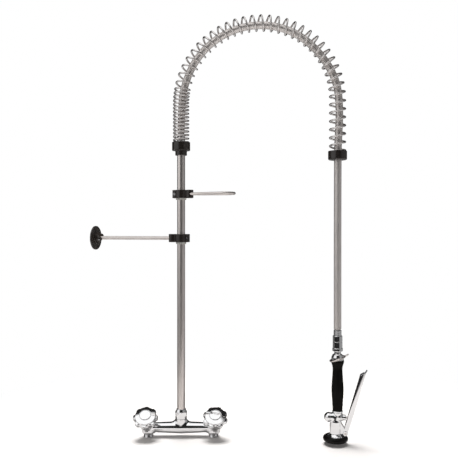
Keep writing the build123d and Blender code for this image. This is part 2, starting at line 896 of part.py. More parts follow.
wall_plane = Plane(origin=(wall_distance, 0, stay_height), x_dir=(0, 0, 1), z_dir=(-1, 0, 0))
wall_frame = stay_frame * wall_plane.location


def wall_flange():
    body = turned(
        (0, 0), (flange_radius, 0), (flange_radius, flange_thickness - flange_bevel),
        (flange_radius - flange_bevel, flange_thickness), (hub_step_radius + hub_bevel, flange_thickness),
        (hub_step_radius, flange_thickness + hub_bevel), (hub_step_radius, hub_step_height),
        (hub_radius, hub_step_height + hub_bevel), (hub_radius, hub_height),
        (hub_nose_radius, hub_nose_height), (0, hub_nose_height))
    body -= post(rod_radius + close_fit, rod_socket_floor, hub_nose_height)
    for hole in range(flange_hole_count):
        turn = Rot(0, 0, flange_hole_angle + hole * 360 / flange_hole_count)
        screw_hole = post(flange_hole_radius, 0, flange_thickness)
        screw_hole += cone(flange_hole_radius, countersink_radius, flange_thickness / 2, flange_thickness)
        body -= turn * Pos(flange_pitch_circle / 2, 0, 0) * screw_hole
    return body - flange_screw_place() * across(grub_radius + close_fit, 0, hub_step_radius)


def flange_screw_place():
    return Pos(0, 0, flange_screw_level) * Rot(0, 0, flange_screw_angle - 90)


def stay_clamp():
    hole = lying(rod_radius + close_fit, rod_start, bulb_reach + bulb_radius, stay_height)
    return clamp(stay_height) - hole


keep("stay_bush", stay_frame * riser_bush(stay_height))
keep("stay_clamp", stay_frame * stay_clamp())
keep("stay_screw", stay_frame * clamp_screw(stay_height))
keep("stay_rod", stay_frame * lying(rod_radius, rod_start, wall_distance - rod_socket_floor, stay_height))
keep("wall_flange", wall_frame * wall_flange())
flange_screw = grub_screw(rod_radius + water_gap, hub_radius - face_gap)
keep("flange_screw", wall_frame * flange_screw_place() * flange_screw)

# Gun: hose nut, inlet with its shoulder, tube and grip


def hose_nut():
    groove_low = (gun_nut_base + gun_nut_top) / 2
    groove_radius = hose_nut_radius - hose_nut_groove_depth
    body = post(hose_nut_radius, gun_nut_base, gun_nut_top)
    body -= tube(hose_nut_radius, groove_radius, groove_low, groove_low + hose_nut_groove)
    body -= post(inlet_thread_radius + close_fit, gun_nut_base, gun_nut_plate)
    return body - post(ferrule_neck_radius + water_gap, gun_nut_plate, gun_nut_top)


lock_pivot_height = shoulder_base + lock_pivot_rise
lock_hole = lock_wire_radius + running_fit


def gun_inlet():
    slope_base = shoulder_top - shoulder_slope
    body = turned(
        (handle_bore, gun_gasket_base), (inlet_thread_radius, gun_gasket_base),
        (inlet_thread_radius, inlet_ring_top),
        (inlet_ring_radius, inlet_ring_top), (inlet_ring_radius, inlet_ring_base),
        (inlet_neck_radius, inlet_ring_base - inlet_ring_bevel), (inlet_neck_radius, shoulder_top),
        (shoulder_crown_radius, shoulder_top - shoulder_crown_drop), (shoulder_radius, slope_base),
        (shoulder_radius, shoulder_base), (handle_radius + close_fit, shoulder_base),
        (handle_radius + close_fit, handle_top), (handle_bore, handle_top))
    wall = shoulder_radius - lock_stub_depth
    for start in (wall, -shoulder_radius):
        body -= Pos(0, 0, lock_pivot_height) * across(lock_hole, start, start + lock_stub_depth)
    return body


def grip():
    outline = Spline(
        (grip_top_radius, grip_top), (grip_bead_radius, grip_top - grip_bead_drop),
        (grip_neck_radius, grip_top - grip_neck_drop), (grip_waist_radius, grip_top - grip_waist_drop),
        (grip_swell_radius, grip_top - grip_swell_drop), (grip_belly_radius, grip_top - grip_belly_drop),
        (grip_taper_radius, grip_top - grip_taper_drop), (grip_foot_radius, grip_base))
    bore = handle_radius + close_fit
    inside = Polyline(
        (grip_foot_radius, grip_base), (bore, grip_base), (bore, grip_top), (grip_top_radius, grip_top))
    return revolve(Plane.XZ * make_face([outline, inside]), Axis.Z)


keep("hose_nut", gun_frame * hose_nut())
keep("gun_gasket", gun_frame * tube(gasket_radius, gasket_bore, gun_gasket_base, gun_flange_base))
keep("gun_inlet", gun_frame * gun_inlet())
keep("handle_tube", gun_frame * tube(handle_radius, handle_bore, handle_base, handle_top))
keep("grip", gun_frame * grip())
grip_ring = tube(grip_ring_radius, handle_radius + close_fit, valve_socket_top, grip_base)
keep("grip_ring", gun_frame * grip_ring)

# Gun valve: the lever pushes the stem back against the spring, off its seat

spray_barrel_base = lever_pivot_height - spray_barrel_drop
spray_barrel_top = spray_barrel_base + spray_barrel_height
lug_base = spray_barrel_base + face_gap
spigot_base = spray_barrel_base - spray_spigot_height
spray_place = Pos(spray_offset, 0, 0)
lean = math.radians(lever_lean)
washer_face = valve_seat - face_gap
stem_flange_face = washer_face - seat_washer_thickness
stem_flange_back = stem_flange_face - stem_flange_thickness
lever_web_inner = lever_half_depth - lever_sheet
lever_face_reach = lever_pivot_reach + (valve_axis - lever_pivot_height) * math.tan(lean)
stem_end = lever_face_reach + lever_web_inner / math.cos(lean) - stem_slack


def valve_lug():
    # Arm from the spray barrel to the lever's pin
    reach, height = lever_pivot_reach, lever_pivot_height
    outline = Polyline(
        (0, height + lug_rise), (reach + lug_shoulder, height + lug_shoulder),
        (reach, height), (reach - lug_shoulder, height - lug_heel),
        (reach / 2, lug_base), (0, lug_base), close=True)
    arm = extrude(Plane.XZ * make_face(outline), lug_half_width, both=True)
    eye = Pos(reach, 0, height) * across(lug_radius, -lug_half_width, lug_half_width)
    return arm + eye


def drilled(radius, start, end):
    run = Vector(*end) - Vector(*start)
    return Plane(origin=start, z_dir=run).location * post(radius, 0, run.length)


def valve_body():
    slope_top = spray_barrel_top + spray_barrel_slope
    barrel = post(spray_barrel_radius, spray_barrel_base, spray_barrel_top)
    barrel += cone(spray_barrel_radius, spray_barrel_top_radius, spray_barrel_top, slope_top)
    barrel += post(spray_spigot_radius, spigot_base, spray_barrel_base)
    body = post(valve_socket_radius, valve_socket_top - valve_socket_height, valve_socket_top)
    body += lying(chamber_radius, chamber_back, chamber_front, valve_axis)
    body += lying(nose_radius, chamber_front, nose_end, valve_axis)
    body += spray_place * barrel + valve_lug()
    body -= post(handle_radius + close_fit, handle_base, valve_socket_top)
    body -= lying(chamber_bore, chamber_back, valve_seat, valve_axis)
    body -= lying(seat_bore, valve_seat, seat_room_end, valve_axis)
    body -= lying(stem_radius + running_fit, seat_room_end, nose_end, valve_axis)
    body -= lying(packing_radius + close_fit, packing_start - water_gap, nose_end, valve_axis)
    body -= spray_place * post(spray_bore, spigot_base, valve_axis)
    passage_top = handle_base + passage_radius
    passage_end = (-passage_reach, 0, passage_top - passage_slope)
    body -= drilled(passage_radius, (-handle_radius / 2, 0, passage_top), passage_end)
    pin_hole = across(lever_pin_radius + close_fit, -lug_half_width, lug_half_width)
    return body - Pos(lever_pivot_reach, 0, lever_pivot_height) * pin_hole


def dome_cap():
    centre = chamber_back - dome_skirt
    spigot_end = chamber_back + dome_spigot_length
    ball = Rot(0, -90, 0) * Sphere(dome_radius, arc_size1=0, align=base)
    body = Pos(centre, 0, valve_axis) * ball + lying(dome_radius, centre, chamber_back, valve_axis)
    body += lying(chamber_bore - close_fit, chamber_back, spigot_end, valve_axis)
    body -= lying(dome_bore, dome_bore_end, spigot_end, valve_axis)
    return body - lying(dome_spring_bore, dome_floor, dome_bore_end, valve_axis)


def valve_spring():
    start, end = dome_floor + water_gap, stem_flange_back - water_gap
    outside = lying(valve_spring_radius, start, end, valve_axis)
    return outside - lying(valve_spring_bore, start, end, valve_axis)


def valve_stem():
    shank_end = stem_end - stem_tip
    body = lying(stem_radius, stem_tail, shank_end, valve_axis)
    body += lying(stem_flange_radius, stem_flange_back, stem_flange_face, valve_axis)
    tip = Cone(stem_radius, stem_radius / 3, stem_tip, align=base)
    return body + Pos(shank_end, 0, valve_axis) * Rot(0, 90, 0) * tip


def seat_washer():
    washer = lying(stem_flange_radius, stem_flange_face, washer_face, valve_axis)
    return washer - lying(stem_radius + close_fit, stem_flange_face, washer_face, valve_axis)


def packing_nut():
    head = Rot(0, 90, 0) * turned(
        (0, nose_end), (packing_head_radius, nose_end),
        (packing_head_radius, packing_head_end - packing_bevel),
        (packing_head_radius - packing_bevel, packing_head_end), (0, packing_head_end))
    seal_room_end = packing_start + stem_seal_length + water_gap
    body = Pos(0, 0, valve_axis) * head + lying(packing_radius, packing_start, nose_end, valve_axis)
    body -= lying(stem_seal_radius + close_fit, packing_start, seal_room_end, valve_axis)
    return body - lying(stem_radius + running_fit, packing_start, packing_head_end, valve_axis)


def stem_seal():
    end = packing_start + stem_seal_length
    return lying(stem_seal_radius, packing_start, end, valve_axis) - lying(
        stem_radius + running_fit, packing_start, end, valve_axis)


keep("valve_body", gun_frame * valve_body())
keep("dome_cap", gun_frame * dome_cap())
keep("valve_spring", gun_frame * valve_spring())
keep("valve_stem", gun_frame * valve_stem())
keep("seat_washer", gun_frame * seat_washer())
keep("packing_nut", gun_frame * packing_nut())
keep("stem_seal", gun_frame * stem_seal())

# Squeeze lever, a pressed channel hinged on the valve body's lug

lever_place = Pos(lever_pivot_reach, 0, lever_pivot_height)
lever_outside = lever_inside / 2 + lever_sheet


def lever():
    depth = 2 * lever_half_depth
    front = (Align.MAX, Align.CENTER, Align.MIN)
    body = Pos(lever_half_depth, 0, 0) * Box(depth, 2 * lever_outside, lever_length, align=front)
    body += across(lever_foot_radius, -lever_outside, lever_outside)
    hollow = Box(3 * depth, lever_inside, 2 * lever_length, align=(Align.MAX, Align.CENTER, Align.CENTER))
    body -= Pos(lever_web_inner, 0, 0) * hollow
    body -= Pos(lever_web_inner, 0, 0) * Box(depth, lever_inside, 2 * lever_web_start)
    corner = Rot(0, 45, 0) * Box(depth, 2 * lever_outside, depth)
    body -= Pos(-lever_half_depth, 0, lever_length) * corner
    tip = Box(lever_sheet, lever_tip_width, lever_tip_length, align=(Align.MIN, Align.CENTER, Align.MIN))
    body += Pos(lever_web_inner, 0, lever_length) * Rot(0, lever_tip_bend, 0) * tip
    body -= across(lever_pin_radius + running_fit, -lever_outside, lever_outside)
    return lever_place * Rot(0, lever_lean, 0) * body


def lever_pin():
    end = lever_outside + face_gap
    pin = across(lever_pin_radius, -end, end)
    for start in (-end - lever_pin_head_height, end):
        pin += across(lever_pin_head_radius, start, start + lever_pin_head_height)
    return lever_place * pin


keep("lever", gun_frame * lever())
keep("lever_pin", gun_frame * lever_pin())

# Spray head: a chromed dish, a drilled face and a rubber bumper round them

dish_rim_outer = dish_radius + dish_rim / 3
dish_rim_low = dish_rim_height - dish_rim


def spray_dish():
    mid_radius = (dish_neck_radius + dish_radius) / 2 - dish_sag
    mid_height = (spray_barrel_base + dish_rim_height) / 2 - dish_sag
    bore = spray_spigot_radius + close_fit
    face_bore = spray_face_radius + close_fit
    hollow = ThreePointArc(
        (dish_neck_radius, spray_barrel_base), (mid_radius, mid_height), (dish_radius, dish_rim_height))
    rest = Polyline(
        (dish_radius, dish_rim_height), (dish_rim_outer, dish_rim_low),
        (dish_skirt_radius, dish_rim_low - dish_rim), (dish_skirt_radius, dish_skirt_bottom),
        (face_bore, dish_skirt_bottom), (face_bore, dish_floor), (bore, dish_floor),
        (bore, spray_barrel_base), (dish_neck_radius, spray_barrel_base))
    return spray_place * revolve(Plane.XZ * make_face([hollow, rest]), Axis.Z)


def spray_face():
    face = post(spray_face_radius, 0, spray_face_thickness)
    hole = extrude(RegularPolygon(spray_hole_radius, 6), spray_face_thickness)
    for count, radius in zip(spray_ring_counts, spray_ring_radii):
        for index in range(count):
            face -= Rot(0, 0, index * 360 / count) * Pos(radius, 0, 0) * hole
    return spray_place * Pos(0, 0, dish_skirt_bottom) * face


def bumper():
    bore = dish_skirt_radius + close_fit
    lip = dish_rim_outer + water_gap
    first = -math.acos((bore - bumper_ring_radius) / bumper_half_width)
    last = math.acos((lip - bumper_ring_radius) / bumper_half_width)
    angles = [first + (last - first) * facet / bumper_facets for facet in range(bumper_facets + 1)]
    round_side = [(bumper_ring_radius + bumper_half_width * math.cos(angle),
                   bumper_centre + bumper_half_width * math.sin(angle)) for angle in angles]
    return spray_place * turned(
        *round_side, (lip, dish_rim_low - face_gap), (bore, dish_rim_low - dish_rim - face_gap))


keep("spray_dish", gun_frame * spray_dish())
keep("spray_face", gun_frame * spray_face())
keep("bumper", gun_frame * bumper())

# Lock ring, a wire ring that tips on two stubs in the gun's shoulder


def lock_ring():
    section = Pos(lock_ring_radius, 0) * RegularPolygon(lock_wire_radius, lock_ring_sides)
    ring = revolve(Plane.XZ * section, Axis.Z)
    tail_end = (lock_ring_radius + lock_tail, 0, lock_tail_rise)
    ring += drilled(lock_wire_radius, (lock_ring_radius, 0, 0), tail_end)
    stub_end = shoulder_radius - lock_stub_depth + face_gap
    ring += across(lock_wire_radius, stub_end, lock_ring_radius)
    ring += across(lock_wire_radius, -lock_ring_radius, -stub_end)
    return Pos(0, 0, lock_pivot_height) * Rot(0, -lock_tilt, 0) * ring


keep("lock_ring", gun_frame * lock_ring())

for name, piece in pieces.items():
    export_step(piece, f"parts/{name}.step")
print("pieces", len(pieces))
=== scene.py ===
import json
import math

import bmesh
import bpy
import numpy as np
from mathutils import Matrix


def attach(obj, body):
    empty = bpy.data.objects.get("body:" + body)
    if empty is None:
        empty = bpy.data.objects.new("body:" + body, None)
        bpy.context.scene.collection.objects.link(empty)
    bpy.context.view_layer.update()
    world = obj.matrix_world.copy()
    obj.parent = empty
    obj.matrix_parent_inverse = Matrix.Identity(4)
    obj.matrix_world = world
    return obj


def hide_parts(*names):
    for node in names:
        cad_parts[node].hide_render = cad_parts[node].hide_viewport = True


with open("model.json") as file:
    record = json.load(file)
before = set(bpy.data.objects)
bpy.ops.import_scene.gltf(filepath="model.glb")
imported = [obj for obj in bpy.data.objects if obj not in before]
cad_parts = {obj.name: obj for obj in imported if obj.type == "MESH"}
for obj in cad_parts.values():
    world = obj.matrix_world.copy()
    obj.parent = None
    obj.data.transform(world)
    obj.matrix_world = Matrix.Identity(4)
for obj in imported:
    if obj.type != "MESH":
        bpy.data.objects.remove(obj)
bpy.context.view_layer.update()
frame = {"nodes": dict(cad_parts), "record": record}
nodes = frame["nodes"]

# Shapes are worked out in millimetres about their own axis; a place, which is a turn and an origin, puts
# them into the frame in metres

lookout = {"place": (0.1328, -1.7057, 0.5747), "lens": 48.34, "sensor": 36.0}
lensData = bpy.data.cameras.new("camera")
lensData.lens = lookout["lens"]
lensData.sensor_width = lookout["sensor"]
viewer = bpy.data.objects.new("camera", lensData)
viewer.location = lookout["place"]
viewer.rotation_euler = (math.pi / 2, 0, 0)  # level, along +Y
bpy.context.scene.collection.objects.link(viewer)
bpy.context.scene.camera = viewer
print("camera set")


def aboutZ(degrees):
    # Rotation seen in the plan view
    c, s = math.cos(math.radians(degrees)), math.sin(math.radians(degrees))
    return np.array([[c, -s, 0], [s, c, 0], [0, 0, 1.0]])


def aboutY(degrees):
    # Rotation that brings Z towards X
    c, s = math.cos(math.radians(degrees)), math.sin(math.radians(degrees))
    return np.array([[c, 0, s], [0, 1.0, 0], [-s, 0, c]])


def within(place, turn, origin):
    # A place given inside another one
    return place[0] @ turn, place[0] @ np.array(origin, float) + place[1]


def located(points, place):
    return (points @ place[0].T + place[1]) * 0.001


layout = {
    "archSwing": -8.0, "archSpan": 427.5, "valveTilt": 52.5, "valveCentres": 190.6, "barHeight": 25.0,
    "hookAzimuth": -16.0, "hookHeight": 671.5, "stayAzimuth": 166.5, "stayHeight": 549.5, "wallDistance": 259.0,
    "valveAxis": 70.85, "coldTurn": 26.0,
}
ground = (np.eye(3), np.zeros(3))
arch = (aboutZ(layout["archSwing"]), np.zeros(3))
gun = within(arch, np.eye(3), (layout["archSpan"], 0, 0))
hookArm = (aboutZ(layout["hookAzimuth"]), np.array([0, 0, layout["hookHeight"]]))
stayArm = (aboutZ(layout["stayAzimuth"]), np.array([0, 0, layout["stayHeight"]]))
wall = within(stayArm, aboutY(-90), (layout["wallDistance"], 0, 0))  # Z from the wall to the riser
valveLine = within(gun, aboutY(90), (0, 0, layout["valveAxis"]))  # Z along the gun's valve, to the lever
sprayLine = within(gun, np.eye(3), (-5.4, 0, 0))
acrossGun = np.array([[1.0, 0, 0], [0, 0, 1], [0, -1, 0]])  # Z along the gun's Y


def knobPlace(side, turn=0.0):
    # Z leans from the upright towards the user, Y goes up the knob's face
    tilt = math.radians(layout["valveTilt"])
    axis = np.array([0, -math.cos(tilt), math.sin(tilt)])
    frameTurn = np.stack([np.array([1.0, 0, 0]), np.cross(axis, [1.0, 0, 0]), axis], axis=1)
    return frameTurn @ aboutZ(turn), np.array([side * layout["valveCentres"] / 2, 0, layout["barHeight"]])


def neighbours(rows, columns, closed=False):
    # Row and column of each quad of a grid whose columns close round, and the quads themselves
    i, j = np.meshgrid(np.arange(rows if closed else rows - 1), np.arange(columns), indexing="ij")
    after, beside = (i + 1) % rows, (j + 1) % columns
    ring = (i * columns + j, i * columns + beside, after * columns + beside, after * columns + j)
    return i, j, np.stack(ring, axis=-1).reshape(-1, 4)


def skin(name, grids, place, body, finish, closed=False, sharp=38, weighted=True):
    # Each grid of points, rows along and columns around, becomes quads between neighbours. Its UV map holds
    # the share of the way round and the metres along
    points, quads, maps, first = [], [], [], 0
    for grid in grids if isinstance(grids, list) else [grids]:
        rows, columns = grid.shape[:2]
        i, j, ring = neighbours(rows, columns, closed)
        middle = grid.mean(axis=1)
        gone = np.linalg.norm(np.diff(np.concatenate([middle, middle[:1]]), axis=0), axis=1)
        gone = np.concatenate([[0], np.cumsum(gone)]) * 0.001
        share = np.stack([j, j + 1, j + 1, j], -1) / columns
        maps.append(np.stack([share, gone[np.stack([i, i, i + 1, i + 1], -1)]], -1))
        quads.append(first + ring)
        points.append(grid.reshape(-1, 3))
        first += rows * columns
    mesh = bpy.data.meshes.new(name)
    mesh.from_pydata(located(np.concatenate(points), place).tolist(), [], np.concatenate(quads).tolist())
    uv = mesh.uv_layers.new(name="along")
    uv.data.foreach_set("uv", np.concatenate([part.reshape(-1) for part in maps]).astype(np.float32))
    work = bmesh.new()
    work.from_mesh(mesh)
    bmesh.ops.remove_doubles(work, verts=work.verts, dist=1e-7)
    bmesh.ops.recalc_face_normals(work, faces=work.faces)
    work.to_mesh(mesh)
    work.free()
    mesh.shade_smooth()
    mesh.set_sharp_from_angle(angle=math.radians(sharp))
    piece = shown(name, mesh, finish, body)
    if weighted:
        piece.modifiers.new("weighted", "WEIGHTED_NORMAL").keep_sharp = True
    return piece


def shown(name, mesh, finish, body):
    piece = bpy.data.objects.new(name, mesh)
    bpy.context.scene.collection.objects.link(piece)
    mesh.materials.append(finish)
    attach(piece, body)
    return piece


def stands(piece, slot, *replaced):
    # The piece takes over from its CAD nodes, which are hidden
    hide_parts(*replaced)
    return piece


def roundedLine(corners, steps=5):
    # A line through (radius, height, rounding): each corner gives way to an arc that touches both its runs
    corners = np.array([(*corner, 0.0)[:3] for corner in corners], float)
    points = [corners[0, :2]]
    for before, here, after in zip(corners[:-2], corners[1:-1], corners[2:]):
        runIn, runOut = before[:2] - here[:2], after[:2] - here[:2]
        lengthIn, lengthOut = np.linalg.norm(runIn), np.linalg.norm(runOut)
        runIn, runOut = runIn / lengthIn, runOut / lengthOut
        half = math.acos(np.clip(runIn @ runOut, -1, 1)) / 2
        if here[2] <= 0 or half > 1.56:
            points.append(here[:2])
            continue
        cut = min(here[2] / math.tan(half), 0.499 * lengthIn, 0.499 * lengthOut)
        centre = here[:2] + (runIn + runOut) / np.linalg.norm(runIn + runOut) * cut / math.cos(half)
        start, end = here[:2] + runIn * cut - centre, here[:2] + runOut * cut - centre
        sweep = math.atan2(start[0] * end[1] - start[1] * end[0], start @ end)
        angle = np.linspace(0, sweep, steps + 1)[:, None]
        points.extend(centre + start * np.cos(angle) + np.array([-start[1], start[0]]) * np.sin(angle))
    points.append(corners[-1, :2])
    return np.array(points)


def closedLine(corners, steps=5):
    # The same for a profile that comes back to its start, half-way along its last run
    corners = [(*corner, 0.0)[:3] for corner in corners]
    start = tuple((np.array(corners[0][:2]) + np.array(corners[-1][:2])) / 2)
    return roundedLine([start, *corners, start], steps)[:-1]


def flowing(knots, steps=10):
    # A smooth line through its knots: cubic pieces whose slope at a knot is that between its neighbours
    knots = np.array(knots, float)
    padded = np.concatenate([2 * knots[:1] - knots[1:2], knots, 2 * knots[-1:] - knots[-2:-1]])
    share = np.linspace(0, 1, steps, endpoint=False)[:, None]
    before, here, after, beyond = padded[:-3], padded[1:-2], padded[2:-1], padded[3:]
    weights = [-share ** 3 + 2 * share ** 2 - share, 3 * share ** 3 - 5 * share ** 2 + 2,
               -3 * share ** 3 + 4 * share ** 2 + share, share ** 3 - share ** 2]
    line = sum(weight[None] * part[:, None, :] for weight, part in zip(weights, (before, here, after, beyond))) / 2
    return np.concatenate([line.reshape(-1, knots.shape[1]), knots[-1:]])


def turned(profile, sides=96, shape=None):
    # The profile goes round Z: x = r cos a, y = r sin a. A shape gives the radius at each height and angle
    angle = np.linspace(0, 2 * math.pi, sides, endpoint=False)
    radius = np.repeat(profile[:, :1], sides, axis=1)
    if shape is not None:
        radius = shape(radius, profile[:, 1:2], angle[None, :])
    height = np.repeat(profile[:, 1:], sides, axis=1)
    return np.stack([radius * np.cos(angle), radius * np.sin(angle), height], axis=-1)


def softMin(a, b, reach):
    # The lesser of two, with a rounded change-over
    share = np.clip(0.5 + 0.5 * (b - a) / reach, 0, 1)
    return b * (1 - share) + a * share - reach * share * (1 - share)


def hexagonal(acrossFlats, inward=False):
    # Outside, no point lies beyond a hexagon's flats. Inward, the least radius of a socket becomes a hexagon
    def shape(radius, height, angle):
        flat = acrossFlats / 2 / np.cos((angle + math.pi / 6) % (math.pi / 3) - math.pi / 6)
        if inward:
            return np.where(np.abs(radius - acrossFlats / 2) < 0.01, flat, radius)
        return softMin(radius, flat, 0.5)
    return shape


def drawn(path, across, radius, sides=16, ends=True, closed=False):
    # A round section along a path: p + R(s) (cos a n + sin a b), with n and b from the path's run and across
    run = np.roll(path, -1, axis=0) - np.roll(path, 1, axis=0) if closed else np.gradient(path, axis=0)
    run /= np.linalg.norm(run, axis=1, keepdims=True)
    normal = np.cross(np.broadcast_to(across, path.shape), run)
    normal /= np.linalg.norm(normal, axis=1, keepdims=True)
    binormal = np.cross(run, normal)
    radii = np.full(len(path), float(radius))
    if ends and not closed:
        row = np.r_[[0] * 4, 1:len(path) - 1, [len(path) - 1] * 4]
        turn = np.array([0.0, 0.5, 0.86, 1.0])
        radii = np.concatenate([radius * turn, radii[1:-1], radius * turn[::-1]])
        inset = 0.35 * radius * (1 - np.sqrt(np.clip(1 - turn ** 2, 0, 1)))
        path, run, normal, binormal = path[row], run[row], normal[row], binormal[row]
        path[:4] += run[:4] * inset[:, None]
        path[-4:] -= run[-4:] * inset[::-1, None]
    angle = np.linspace(0, 2 * math.pi, sides, endpoint=False)[None, :, None]
    spokes = np.cos(angle) * normal[:, None, :] + np.sin(angle) * binormal[:, None, :]
    return path[:, None, :] + radii[:, None, None] * spokes


# Castings and mouldings are distance fields, in which fillets and rounded edges are part of the shape


def span(*parts):
    return np.sqrt(sum(part * part for part in parts))


def slab(value, low, high):
    return np.maximum(low - value, value - high)


def joined(a, b, fillet=0.0):
    # Both shapes, with a hollow fillet where they meet
    if np.all(fillet == 0):
        return np.minimum(a, b)
    return np.maximum(fillet, np.minimum(a, b)) - span(np.maximum(fillet - a, 0), np.maximum(fillet - b, 0))


def common(a, b, edge=0.0):
    # Where both shapes are, with a rounded edge
    return -joined(-a, -b, edge)


def without(a, b, edge=0.0):
    return common(a, -b, edge)


def slopeOf(field, points, reach=0.03):
    # Central differences along the three axes
    return np.stack([field(points + way) - field(points - way) for way in np.eye(3) * reach], -1) / (2 * reach)


def cast(name, field, low, high, step, place, body, finish):
    # The surface on which a field is zero. Each lattice cell that it crosses gets one point, the mean of the
    # crossings on the cell's edges, which is then moved by f g / |g|^2; each crossed edge gets a quad round it
    lines = [np.arange(start - 1.5 * step, end + 2 * step, step) for start, end in zip(low, high)]
    lattice = np.stack(np.meshgrid(*lines, indexing="ij"), axis=-1)
    value = field(lattice.reshape(-1, 3)).reshape(lattice.shape[:3])
    inside = value < 0
    cells = tuple(size - 1 for size in value.shape)
    total, count, edges = np.zeros((*cells, 3)), np.zeros(cells), []
    for axis in range(3):
        near = tuple(slice(None, -1) if other == axis else slice(None) for other in range(3))
        far = tuple(slice(1, None) if other == axis else slice(None) for other in range(3))
        crossed = inside[near] != inside[far]
        share = np.where(crossed, value[near] / np.where(crossed, value[near] - value[far], 1), 0)[..., None]
        point = np.where(crossed[..., None], lattice[near] + share * (lattice[far] - lattice[near]), 0)
        for pair in ((a, b) for a in (0, 1) for b in (0, 1)):
            part = [slice(1, None) if last else slice(None, -1) for last in pair]
            part.insert(axis, slice(None))
            total += point[tuple(part)]
            count += crossed[tuple(part)]
        edges.append((crossed, inside[near]))
    number = np.full(cells, -1)
    number[count > 0] = np.arange(int((count > 0).sum()))
    points = total[count > 0] / count[count > 0][:, None]
    quads = []
    for axis, (crossed, startsInside) in enumerate(edges):
        one, two = np.eye(3, dtype=int)[(axis + 1) % 3], np.eye(3, dtype=int)[(axis + 2) % 3]
        spots = np.argwhere(crossed)
        ring = np.stack([number[tuple((spots - back).T)] for back in (one + two, two, 0 * one, one)], axis=1)
        flip = ~startsInside[crossed]
        ring[flip] = ring[flip, ::-1]
        quads.append(ring)
    for _ in range(3):
        slope = slopeOf(field, points)
        move = (field(points) / np.maximum((slope ** 2).sum(1), 0.05))[:, None] * slope
        points = points - np.clip(move, -0.4 * step, 0.4 * step)
    slope = slopeOf(field, points)
    slope /= np.maximum(np.linalg.norm(slope, axis=1, keepdims=True), 1e-6)
    mesh = bpy.data.meshes.new(name)
    mesh.from_pydata(located(points, place).tolist(), [], np.concatenate(quads).tolist())
    mesh.shade_smooth()
    mesh.normals_split_custom_set_from_vertices((slope @ place[0].T).tolist())
    print(name, len(points), "points")
    return shown(name, mesh, finish, body)


class Socket:
    # One output of a node: a sum written with it adds the Math nodes that the sum needs
    def __init__(self, tree, link=None):
        self.tree, self.link = tree, link

    def node(self, kind, settings=None, inputs=None, output=0):
        made = self.tree.nodes.new("ShaderNode" + kind)
        for key, value in (settings or {}).items():
            if key == "stops":
                while len(made.color_ramp.elements) < len(value):
                    made.color_ramp.elements.new(1.0)
                for element, (place, colour) in zip(made.color_ramp.elements, value):
                    element.position, element.color = place, (*colour, 1.0)
            else:
                setattr(made, key, value)
        for key, value in (inputs or {}).items():
            if isinstance(value, Socket):
                self.tree.links.new(value.link, made.inputs[key])
            else:
                made.inputs[key].default_value = value
        return Socket(self.tree, made.outputs[output] if len(made.outputs) else None)

    def sibling(self, output):
        return Socket(self.tree, self.link.node.outputs[output])

    def maths(self, operation, *values):
        return self.node("Math", {"operation": operation}, dict(enumerate((self, *values))))

    def __add__(self, other):
        return self.maths("ADD", other)

    def __sub__(self, other):
        return self.maths("SUBTRACT", other)

    def __rsub__(self, other):
        return self.node("Math", {"operation": "SUBTRACT"}, {0: other, 1: self})

    def __mul__(self, other):
        return self.maths("MULTIPLY", other)

    def __truediv__(self, other):
        return self.maths("DIVIDE", other)

    def __pow__(self, other):
        return self.maths("POWER", other)

    __radd__ = __add__
    __rmul__ = __mul__

    def mixed(self, low, high):
        # The colour between two, by this value
        return self.node("Mix", {"data_type": "RGBA"}, {"Factor": self, 6: colourOf(low), 7: colourOf(high)}, 2)

    def between(self, low, high):
        # 0 below one value, 1 above the other, smooth between them
        return self.node("MapRange", {"interpolation_type": "SMOOTHSTEP"}, {0: self, 1: low, 2: high})


def colourOf(value):
    return value if isinstance(value, Socket) else (*value, 1.0)


def blank(name, uvMap=None):
    # An empty material, where its nodes start, and the coordinates that its patterns follow
    material = bpy.data.materials.new(name)
    material.use_nodes = True
    material.node_tree.nodes.clear()
    start = Socket(material.node_tree)
    if uvMap:
        return material, start, start.node("UVMap", {"uv_map": uvMap})
    return material, start, start.node("TexCoord", output="Object")


def noise(start, place, scale, detail=3.0, roughness=0.55, stretch=(1, 1, 1)):
    # Noise from 0 to 1 on stretched coordinates
    place = start.node("Mapping", {}, {"Vector": place, "Scale": stretch})
    return start.node("TexNoise", {}, {"Vector": place, "Scale": scale, "Detail": detail, "Roughness": roughness})


def coated(start, height=None, strength=0.1, depth=0.0002, **sockets):
    # The shader and the output, with a bump when a height is given
    inputs = {key.replace("_", " "): colourOf(value) if "Color" in key else value for key, value in sockets.items()}
    if height is not None:
        inputs["Normal"] = start.node("Bump", {}, {"Height": height, "Strength": strength, "Distance": depth})
    start.node("OutputMaterial", {}, {"Surface": start.node("BsdfPrincipled", {}, inputs)})


def chromePlate():
    # Bright plate: a faint water film that dulls it in patches, hairline polishing marks and a slight ripple
    material, start, place = blank("polishedChrome")
    film = noise(start, place, 60.0, 4.0)
    marks = noise(start, place, 1.0, 3.0, 0.6, (500, 500, 2600))
    ripple = noise(start, place, 26.0, 1.0)
    coated(
        start, ripple + 0.05 * marks, 0.035, 0.0006,
        Base_Color=film.mixed((0.90, 0.90, 0.905), (0.83, 0.83, 0.84)), Metallic=1.0,
        Roughness=0.035 + 0.05 * film ** 3 + 0.03 * marks)
    return material


def drawnSteel(name, scratches, level, rough):
    # Steel with fine lines along the tube; scratches says how the coordinates stretch
    material, start, place = blank(name)
    lines = noise(start, place, 1.0, 4.0, 0.6, scratches)
    broad = noise(start, place, 9.0, 2.0)
    darker = tuple(0.8 * channel for channel in level)
    coated(
        start, lines, 0.05, 0.0001,
        Base_Color=(0.6 * lines + 0.4 * broad).mixed(darker, level), Metallic=1.0,
        Roughness=rough - 0.05 + 0.12 * lines)
    return material


